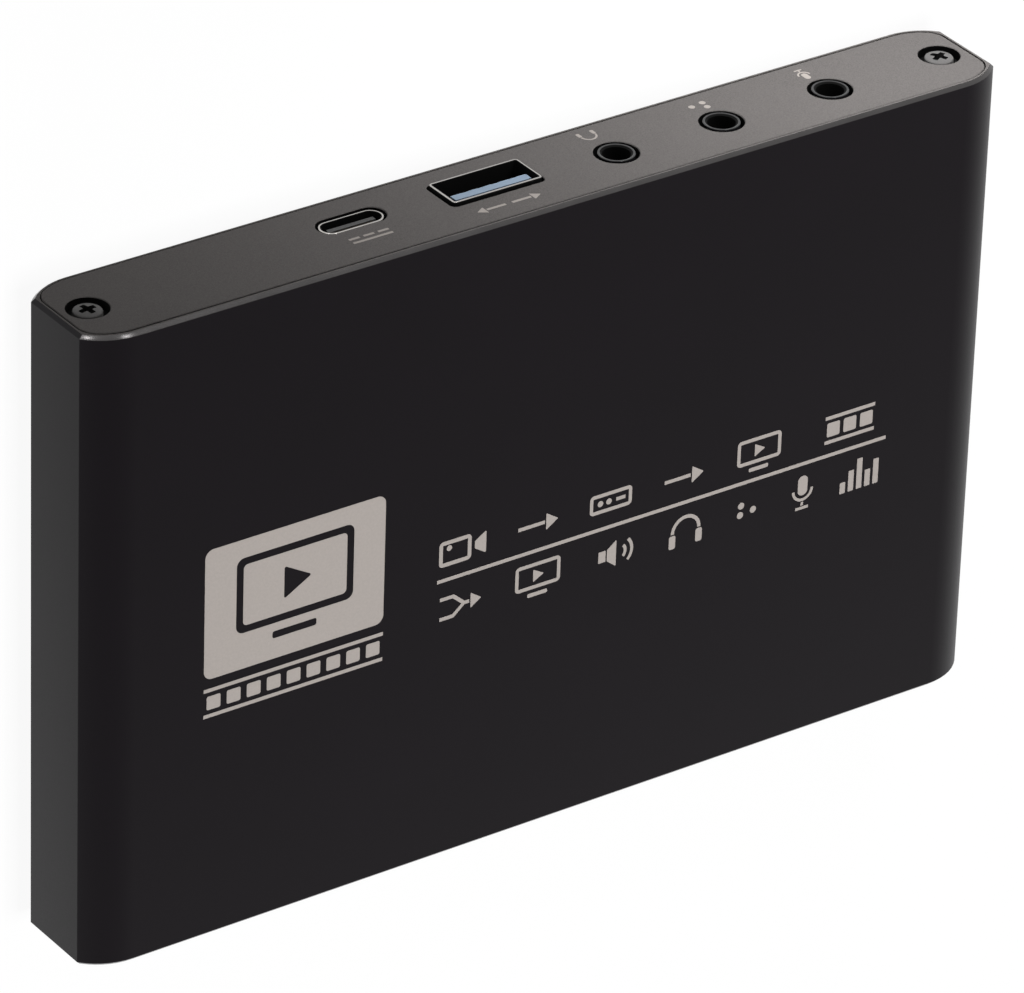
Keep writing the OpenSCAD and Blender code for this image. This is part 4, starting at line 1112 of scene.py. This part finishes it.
class CAPTUREBOX_OT_stage(bpy.types.Operator):
    """Sets out the floor, the light and the camera"""

    bl_idname = "capture_box.stage"
    bl_label = "Set the Stage"

    def execute(self, context):
        stage = context.scene.capture_box.stage
        self.add_floor(stage)
        self.light_world(stage)
        middle = Vector((0, 0, TUBE[1].z / 2))
        self.add_lamp("key_lamp", stage.key_place, middle, stage.key_size, stage.key_power)
        self.add_lamp("front_lamp", stage.front_place, middle, stage.front_size, stage.front_power)
        for name, place in (("left_glint", stage.glint_left), ("right_glint", stage.glint_right)):
            self.add_lamp(name, place, middle, stage.glint_size, stage.glint_power, glints=True)
        below = Vector((stage.rear_place[0], TUBE[1].y, TUBE[1].z / 2))
        rear = self.add_lamp("rear_lamp", stage.rear_place, below, stage.rear_size, stage.rear_power)
        rear.spread = stage.rear_spread
        self.add_camera(context.scene, stage)
        context.scene.view_settings.view_transform = "Standard"
        return {"FINISHED"}

    def add_floor(self, stage):
        """A square of paper just under the object."""
        bm = bmesh.new()
        below = Matrix.Translation((0, 0, CAD_BOX[0][2] - stage.floor_drop))
        bmesh.ops.create_grid(bm, x_segments=1, y_segments=1, size=stage.floor_size / 2, matrix=below)
        floor = add_mesh(bm, "studio_floor", [self.paper(stage)])

    def paper(self, stage):
        """Paper that shows as white to the camera and in reflections."""
        finish = Finish(stage.floor_grey, 0.9, gloss=0.0)
        finish.material.name = "white_paper"
        finish.set("Emission Color", (1.0, 1.0, 1.0, 1.0))
        glow = finish.combine("MULTIPLY", finish.seen_rays(), stage.floor_glow)
        finish.set("Emission Strength", glow)
        return finish.material

    def light_world(self, stage):
        """A faint even light, seen as white at the horizon and darker high up."""
        world = bpy.data.worlds.new("even_light")
        bpy.context.scene.world = world
        world.use_nodes = True
        shading = Shading(world.node_tree)
        way = shading.node("ShaderNodeSeparateXYZ", {0: shading.coords("Generated")})
        sky = shading.spread(way.outputs["Z"], *SKY_SPAN, 1.0, stage.sky)
        strength = shading.spread(shading.seen_rays(), 0.0, 1.0, stage.world_light, sky)
        background = world.node_tree.nodes["Background"]
        shading.feed(background.inputs["Color"], (1.0, 1.0, 1.0, 1.0))
        shading.feed(background.inputs["Strength"], strength)

    def add_lamp(self, name, place, target, size, power, glints=False):
        """A square lamp that faces a target, and is mirrored in the object only if it glints."""
        light = bpy.data.lights.new(name, "AREA")
        light.shape = "SQUARE"
        light.size = size
        light.energy = power
        lamp = add_object(name, light)
        lamp.location = place
        lamp.rotation_euler = (target - lamp.location).to_track_quat("-Z", "Y").to_euler()
        lamp.visible_camera = False
        lamp.visible_glossy = glints
        return light

    def add_camera(self, scene, stage):
        """The camera that took the photograph, as its fit gives it."""
        data = bpy.data.cameras.new("photo_camera")
        data.sensor_fit = "HORIZONTAL"
        data.sensor_width = stage.camera_sensor
        data.lens = stage.camera_lens
        camera = add_object("photo_camera", data)
        camera.location = stage.camera_place
        camera.rotation_euler = stage.camera_turn
        scene.camera = camera


class CAPTUREBOX_OT_finishes(bpy.types.Operator):
    """Makes the finishes and puts them on the carried-over pieces"""

    bl_idname = "capture_box.finishes"
    bl_label = "Finish the Pieces"

    def execute(self, context):
        colours = context.scene.capture_box.finish
        for name, material in make_finishes(colours).items():
            material.name = f"{name}_finish"
        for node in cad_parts.values():
            for slot in node.material_slots:
                slot.material = finish_of(slot.material.name)
        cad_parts["power_socket_insulator"].material_slots[0].material = finish_of("insulator_grey")
        return {"FINISHED"}


class CAPTUREBOX_OT_case(bpy.types.Operator):
    """Builds the extruded tube with its bright rims, rails and screw channels"""

    bl_idname = "capture_box.case"
    bl_label = "Build the Case"

    def execute(self, context):
        box = context.scene.capture_box
        case = box.case
        end = case.depth / 2
        seat = end - box.plate.thickness
        seat_round = box.plate.corner_round + box.plate.gap
        bm = bmesh.new()
        rims = []
        inner = []
        for way in (1, -1):
            body = case_outline(bm, case, 0, case.corner_round, way * (end - case.rim_chamfer))
            rim = case_outline(bm, case, case.rim_chamfer, case.corner_round, way * end)
            mouth = case_outline(bm, case, case.lip, seat_round, way * end)
            throat = case_outline(bm, case, case.lip, seat_round, way * (end - case.painted_light_band))
            ledge = case_outline(bm, case, case.lip, seat_round, way * seat)
            chamfer, flat, band, _ = bridge(bm, body, rim, mouth, throat, ledge)
            # Painted shade: the chamfer's faces along the narrow sides keep the case's black, standing in
            # for the dark reflection there
            paint([face for face in chamfer if not self.in_painted_shade(face)], 1)
            # Painted light: the flat lip and the band inside the mouth take the plates' grey, lightening
            # the dark gap round the plate
            paint(flat + band, 2)
            hollow = [cavity_outline(bm, case, way * seat)]
            for side in (1, -1):
                bore = across(side * screw_x(), way * seat, case.height / 2)
                hollow.append(circle_loop(bm, case.bore_radius, bore, SMALL_SIDES))
            fill(bm, ledge, *hollow)
            inner.append(hollow)
            rims.append((body, rim))
        paint(bridge(bm, rims[0][0], rims[1][0])[0], 0)
        for near, far in zip(*inner):
            bridge(bm, near, far)
        soften(bm, [edge for pair in rims for loop in pair for edge in loop], case.rim_soften)
        finishes = ["case_black", "rim_bright", "plate_grey"]
        finish_piece(bm, "case_shell", finishes, "case_tube")
        return {"FINISHED"}

    def in_painted_shade(self, face):
        """Whether a face of the chamfer lies along a narrow side, where it is left black: painted shade
        standing in for the dark reflection there.
        """
        face.normal_update()
        return abs(face.normal.x) > SHADED_SIDE_LEAN


class CAPTUREBOX_OT_end_plates(bpy.types.Operator):
    """Builds the two end plates with their holes and counterbores"""

    bl_idname = "capture_box.end_plates"
    bl_label = "Build the End Plates"

    def execute(self, context):
        box = context.scene.capture_box
        plate = box.plate
        jacks = [RoundMouth(plate.jack_hole, *jack_axis(box.jack, name)) for name in JACKS]
        self.build(box, "rear_end_plate", 1, rear_cans(box.socket), jacks, "rear_plate")
        button = middle_of("select_button")
        controls = [RoundMouth(plate.button_hole, button.x, button.z)]
        for step in (-1, 0, 1):
            x = middle_of("light_pipe").x + step * plate.light_pitch
            controls.append(RoundMouth(plate.light_hole, x, button.z))
        self.build(box, "front_end_plate", -1, front_cans(box.socket), controls, "front_plate")
        return {"FINISHED"}

    def build(self, box, name, way, cans, holes, node):
        """One plate: loops from its face to its back for its edge and for each hole."""
        case, plate = box.case, box.plate
        small = plate.edge_break
        face = way * case.depth / 2
        edge, back = face - way * small, face - way * plate.thickness
        steps = ((small, face), (0.0, edge), (0.0, back))
        inset = case.lip + plate.gap
        bm = bmesh.new()
        runs = [[case_outline(bm, case, inset + grow, plate.corner_round - grow, y) for grow, y in steps]]
        askew = Matrix.Rotation(plate.askew, 4, "Y")
        bmesh.ops.rotate(bm, cent=(0, 0, case.height / 2), matrix=askew, verts=bm.verts)
        bmesh.ops.translate(bm, vec=(0, 0, -plate.sunk), verts=bm.verts)
        runs += [[can.loop(bm, plate.socket_gap + grow, y) for grow, y in steps] for can in cans.values()]
        runs += [[hole.loop(bm, grow, y) for grow, y in steps] for hole in holes]
        seat = way * (SCREWS[1].y - box.screw.head_height)
        shank = plate.screw_hole - plate.counterbore
        for side in (1, -1):
            bore = RoundMouth(plate.counterbore, side * screw_x(), case.height / 2)
            depths = ((small, face), (0.0, edge), (0.0, seat), (shank, seat), (shank, back))
            runs.append([bore.loop(bm, grow, y) for grow, y in depths])
        # Painted shade: the walls of the plate's edge, its holes and its counterbores take the hole shade
        for run in runs:
            for wall in bridge(bm, *run)[1:]:
                paint(wall, 1)
        fill(bm, *[run[0] for run in runs])
        fill(bm, *[run[-1] for run in runs])
        finish_piece(bm, name, ["plate_grey", "hole_shade"], node)


class CAPTUREBOX_OT_socket_cans(bpy.types.Operator):
    """Builds the sockets' sheet-metal cans with their solder legs"""

    bl_idname = "capture_box.socket_cans"
    bl_label = "Build the Socket Cans"

    def execute(self, context):
        socket = context.scene.capture_box.socket
        for node, mouth in rear_cans(socket).items():
            low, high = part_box(node)
            self.build(socket, node, mouth, high.y, low.y, BOARD[1].y)
        for node, mouth in front_cans(socket).items():
            low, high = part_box(node)
            self.build(socket, node, mouth, low.y, high.y, BOARD[0].y)
        return {"FINISHED"}

    def build(self, socket, node, mouth, rim, back, board):
        """One can: loops along its outside and back along its inside."""
        bm = bmesh.new()
        inside = -socket.sheet
        steps = ((0.0, back), (0.0, rim), (inside, rim), (inside, back))
        loops = [mouth.loop(bm, grow, y) for grow, y in steps]
        outer, _, inner, _ = bridge(bm, *loops, loops[0])
        # Painted shade: the can's outer and inner walls take the hole shade, and only its rim stays nickel
        paint(outer + inner, 1)
        soften(bm, loops[1] + loops[2], socket.rim_round)
        inwards = math.copysign(socket.leg_inset, back - rim)
        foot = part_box(node)[0].z
        leg = Matrix.Diagonal((socket.leg_sheet, socket.leg_width, mouth.z - foot, 1))
        reach = mouth.half_width - socket.sheet / 2
        for x in (mouth.x - reach, mouth.x + reach):
            for y in (board + inwards, back - inwards):
                place = Matrix.Translation((x, y, (mouth.z + foot) / 2))
                bmesh.ops.create_cube(bm, size=1.0, matrix=place @ leg)
        name = node.replace("shell", "can")
        finish_piece(bm, name, ["shell_nickel", "hole_shade"], node)


class CAPTUREBOX_OT_jack_mouldings(bpy.types.Operator):
    """Builds the three jacks' mouldings, hollow from the mouth to the back wall"""

    bl_idname = "capture_box.jack_mouldings"
    bl_label = "Build the Jack Mouldings"

    def execute(self, context):
        for name in JACKS:
            self.build(context.scene.capture_box.jack, name)
        return {"FINISHED"}

    def build(self, jack, name):
        """One moulding: a block, a nose on it, and the bore, the chamber and the springs' slots in it."""
        node = f"{name}_jack_body"
        low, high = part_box(node)
        x, z = jack_axis(jack, name)
        front, guide_end, chamber_end = BOARD[1].y, high.y - jack.guide, low.y + jack.back_wall
        bm = bmesh.new()
        outline = rectangle(high.x - low.x, high.z - low.z)
        block = [
            rounded_loop(bm, outline, jack.block_round, across(x, y, (low.z + high.z) / 2))
            for y in (front, low.y)
        ]
        rings = (
            (jack.nose_radius, front), (jack.nose_radius, high.y), (jack.lip_radius, high.y),
            (jack.bore_radius, high.y - jack.lead), (jack.bore_radius, guide_end),
            (jack.chamber_radius, guide_end), (jack.chamber_radius, chamber_end),
        )
        bore = [circle_loop(bm, radius, across(x, y, z)) for radius, y in rings]
        slots = []
        slot = rectangle(jack.slot_height, jack.slot_width)
        for turn in (0, 90, 180):
            turned = Matrix.Rotation(math.radians(turn), 4, "Z")
            aside = turned @ Matrix.Translation((jack.slot_radius, 0, 0))
            ends = [across(x, y, z) @ aside for y in (chamber_end, low.y)]
            slots.append([rounded_loop(bm, slot, 0.0, end) for end in ends])
        bridge(bm, *block)
        # Painted shade: the bore's lead-in, the bore and the chamber take the hole shade
        for wall in bridge(bm, *bore)[2:]:
            paint(wall, 1)
        for slot in slots:
            bridge(bm, *slot)
        fill(bm, block[0], bore[0])
        fill(bm, bore[-1], *[slot[0] for slot in slots])
        fill(bm, block[1], *[slot[1] for slot in slots])
        soften(bm, bore[1] + bore[2], jack.nose_round)
        finish_piece(bm, f"{name}_jack_moulding", ["jack_black", "hole_shade"], node)


class CAPTUREBOX_OT_button(bpy.types.Operator):
    """Builds the select button's cap with its flange and its dish"""

    bl_idname = "capture_box.button"
    bl_label = "Build the Button"

    def execute(self, context):
        button = context.scene.capture_box.button
        low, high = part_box("select_button")
        middle = middle_of("select_button")
        shoulder = high.y - button.flange
        flange = (high.x - low.x) / 2
        rings = [
            (flange, high.y), (flange, shoulder), (button.radius, shoulder), (button.radius, low.y),
        ]
        rings += [(wide * button.radius, low.y + deep * button.dish) for wide, deep in DISH_STEPS]
        bm = bmesh.new()
        loops = [circle_loop(bm, radius, across(middle.x, y, middle.z)) for radius, y in rings]
        bridge(bm, *loops)
        fill(bm, loops[0])
        fill(bm, loops[-1])
        soften(bm, loops[3] + loops[4], button.rim_round)
        finish_piece(bm, "button_cap", ["button_black"], "select_button", BUTTON_BODY)
        return {"FINISHED"}


class CAPTUREBOX_OT_screws(bpy.types.Operator):
    """Builds the four pan-head screws with their cross recesses"""

    bl_idname = "capture_box.screws"
    bl_label = "Build the Screws"

    def execute(self, context):
        box = context.scene.capture_box
        bm = bmesh.new()
        for way, side, turn in SCREW_TURNS:
            head = Matrix.Translation((side * screw_x(), way * SCREWS[1].y, box.case.height / 2))
            outwards = Matrix.Rotation(-way * math.pi / 2, 4, "X")
            turned = Matrix.Rotation(math.radians(turn), 4, "Z")
            self.draw_screw(bm, box.screw, head @ outwards @ turned)
        finish_piece(bm, "end_screws", ["screw_black", "hole_shade"], "plate_screws")
        return {"FINISHED"}

    def sink(self, screw, radius):
        """How far the domed top lies under its middle at a radius."""
        return screw.dome_radius - math.sqrt(screw.dome_radius ** 2 - radius ** 2)

    def draw_screw(self, bm, screw, place):
        """A screw along Z with the top of its head at the origin, moved into place."""
        old = set(bm.verts)
        a, b = screw.recess_length / 2, screw.recess_width / 2
        cross = [
            (a, -b), (a, b), (b, b), (b, a), (-b, a), (-b, b),
            (-a, b), (-a, -b), (-b, -b), (-b, -a), (b, -a), (b, -b),
        ]
        mouth = rounded_loop(bm, cross, screw.recess_round, Matrix.Identity(4))
        for vert in corners_of(mouth):
            vert.co.z = -self.sink(screw, vert.co.xy.length)
        narrow = [(x * RECESS_TAPER, y * RECESS_TAPER) for x, y in cross]
        depth = Matrix.Translation((0, 0, -screw.recess_depth))
        bottom = rounded_loop(bm, narrow, screw.recess_round * RECESS_TAPER, depth)
        rim, ring = screw.head_radius, a * RECESS_RING
        under = -screw.head_height
        rings = [(radius, -self.sink(screw, radius)) for radius in (ring, (ring + rim) / 2, rim)]
        rings += [
            (rim, under), (screw.shank_radius, under), (screw.shank_radius, under - screw.shank_length),
        ]
        loops = [circle_loop(bm, radius, Matrix.Translation((0, 0, z)), HEAD_SIDES) for radius, z in rings]
        # Painted shade: the walls and the floor of the cross recess take the hole shade
        paint(bridge(bm, mouth, bottom)[0], 1)
        paint([part for part in fill(bm, bottom) if isinstance(part, bmesh.types.BMFace)], 1)
        fill(bm, loops[0], mouth)
        bridge(bm, *loops)
        fill(bm, loops[-1])
        soften(bm, loops[2], screw.rim_round)
        bmesh.ops.transform(bm, matrix=place, verts=[vert for vert in bm.verts if vert not in old])


class CAPTUREBOX_OT_face_print(bpy.types.Operator):
    """Prints the picture panel and two rows of plain signs on the wide face"""

    bl_idname = "capture_box.face_print"
    bl_label = "Print the Face"

    def execute(self, context):
        box = context.scene.capture_box
        sheet = InkSheet()
        self.panel(sheet)
        rule, upper_y, lower_y = (-17.4, -4.05, 51.5, -3.55), -0.1, -7.9
        sheet.move(0, 0)
        sheet.bar(*rule)
        upper = (
            (-13.8, draw_camera), (-2.4, draw_arrow), (8.6, draw_device),
            (19.8, draw_arrow), (31.4, draw_screen), (45.6, draw_film),
        )
        lower = (
            (-13.9, draw_merge), (-2.2, draw_screen), (9.6, draw_speaker), (20.4, draw_headphones),
            (29.8, draw_dots), (38.6, draw_microphone), (47.6, draw_levels),
        )
        for row, middle in ((upper, upper_y), (lower, lower_y)):
            for x, draw in row:
                sheet.move(x, middle)
                draw(sheet)
        top = Matrix.Translation((0, 0, box.case.height))
        sheet.print_on("face_print", top, box.mark.ink)
        return {"FINISHED"}

    def panel(self, sheet):
        """A filled panel with a screen left clear in it, and a band of film under it."""
        middle, half_width, lift = -38.35, 13.05, 1.2
        sheet.move(middle, 2.05)
        panel = sheet.loop(rectangle(2 * half_width, 18.1), 1.2)
        screen = sheet.loop([(x, y + lift) for x, y in rectangle(17, 10.5)], 1.1)
        foot = sheet.loop(corners(-3.2, -6.2, 3.2, -5.2), 0.3)
        fill(sheet.bm, panel, screen, foot)
        picture = sheet.loop([(x, y + lift) for x, y in rectangle(15, 8.5)], 0.6)
        play = sheet.loop([(-1.6, -1.1), (2.4, 1.2), (-1.6, 3.5)], 0.2)
        fill(sheet.bm, picture, play)
        sheet.move(middle, -10.35)
        draw_film(sheet, frames=9, pitch=2.9, reach=half_width, rail=1.55, half=0.95)


class CAPTUREBOX_OT_port_marks(bpy.types.Operator):
    """Prints small signs beside the sockets on both end plates"""

    bl_idname = "capture_box.port_marks"
    bl_label = "Print the Port Marks"

    def execute(self, context):
        box = context.scene.capture_box
        half = box.case.depth / 2
        rear = Matrix(((-1, 0, 0, 0), (0, 0, 1, half), (0, 1, 0, 0), (0, 0, 0, 1)))
        front = Matrix(((1, 0, 0, 0), (0, 0, -1, -half), (0, 1, 0, 0), (0, 0, 0, 1)))
        self.print_signs("rear_marks", rear, box.mark.ink, (
            (24.6, 10.85, 0.95, draw_direct_current), (5.7, 12.6, 0.95, draw_both_ways),
            (-12.7, 3.2, 0.5, draw_headphones), (-29.0, 3.75, 0.9, draw_dots),
            (-45.2, 3.7, 0.55, draw_microphone),
        ))
        self.print_signs("front_marks", front, box.mark.ink, (
            (-45, 12.6, 0.5, draw_camera), (-23, 12.6, 0.5, draw_camera), (0, 12.7, 0.5, draw_screen),
            (22, 12.6, 0.45, draw_merge), (46, 11.6, 0.32, draw_screen),
            (-41.6, 12.6, 0.7, draw_one), (-19.6, 12.6, 0.7, draw_two),
            (36, 11.6, 0.55, draw_one), (41, 11.6, 0.55, draw_two),
        ))
        return {"FINISHED"}

    def print_signs(self, name, place, ink, signs):
        """Prints a plate's signs: where each lies as the plate is seen, its size and what it is."""
        sheet = InkSheet()
        for x, z, size, draw in signs:
            sheet.move(x, z, size)
            draw(sheet)
        sheet.print_on(name, place, ink)


class CAPTUREBOX_PT_panel(bpy.types.Panel):
    """Lists the steps and the sizes of the capture box"""

    bl_label = "Capture Box"
    bl_idname = "CAPTUREBOX_PT_panel"
    bl_space_type = "VIEW_3D"
    bl_region_type = "UI"
    bl_category = "Capture Box"

    def draw(self, context):
        for step in STEPS:
            self.layout.operator(step.bl_idname)
        box = context.scene.capture_box
        for part in BoxSettings.__annotations__:
            group = getattr(box, part)
            column = self.layout.column(align=True)
            for name in group.__annotations__:
                column.prop(group, name)


SETTINGS = (
    CaseSettings, PlateSettings, SocketSettings, JackSettings, ButtonSettings, ScrewSettings,
    MarkSettings, FinishSettings, StageSettings, BoxSettings,
)
STEPS = (
    CAPTUREBOX_OT_stage, CAPTUREBOX_OT_finishes, CAPTUREBOX_OT_case, CAPTUREBOX_OT_end_plates,
    CAPTUREBOX_OT_socket_cans, CAPTUREBOX_OT_jack_mouldings, CAPTUREBOX_OT_button,
    CAPTUREBOX_OT_screws, CAPTUREBOX_OT_face_print, CAPTUREBOX_OT_port_marks,
)


def register():
    for kind in (*SETTINGS, *STEPS, CAPTUREBOX_PT_panel):
        bpy.utils.register_class(kind)
    bpy.types.Scene.capture_box = PointerProperty(
        name="Capture Box", description="Settings of the capture box", type=BoxSettings,
    )


def unregister():
    del bpy.types.Scene.capture_box
    for kind in reversed((*SETTINGS, *STEPS, CAPTUREBOX_PT_panel)):
        bpy.utils.unregister_class(kind)


def main():
    register()
    bpy.ops.capture_box.stage()
    bpy.ops.capture_box.finishes()
    bpy.ops.capture_box.case()
    bpy.ops.capture_box.end_plates()
    bpy.ops.capture_box.socket_cans()
    bpy.ops.capture_box.jack_mouldings()
    bpy.ops.capture_box.button()
    bpy.ops.capture_box.screws()
    bpy.ops.capture_box.face_print()
    bpy.ops.capture_box.port_marks()


if __name__ == "__main__":
    main()
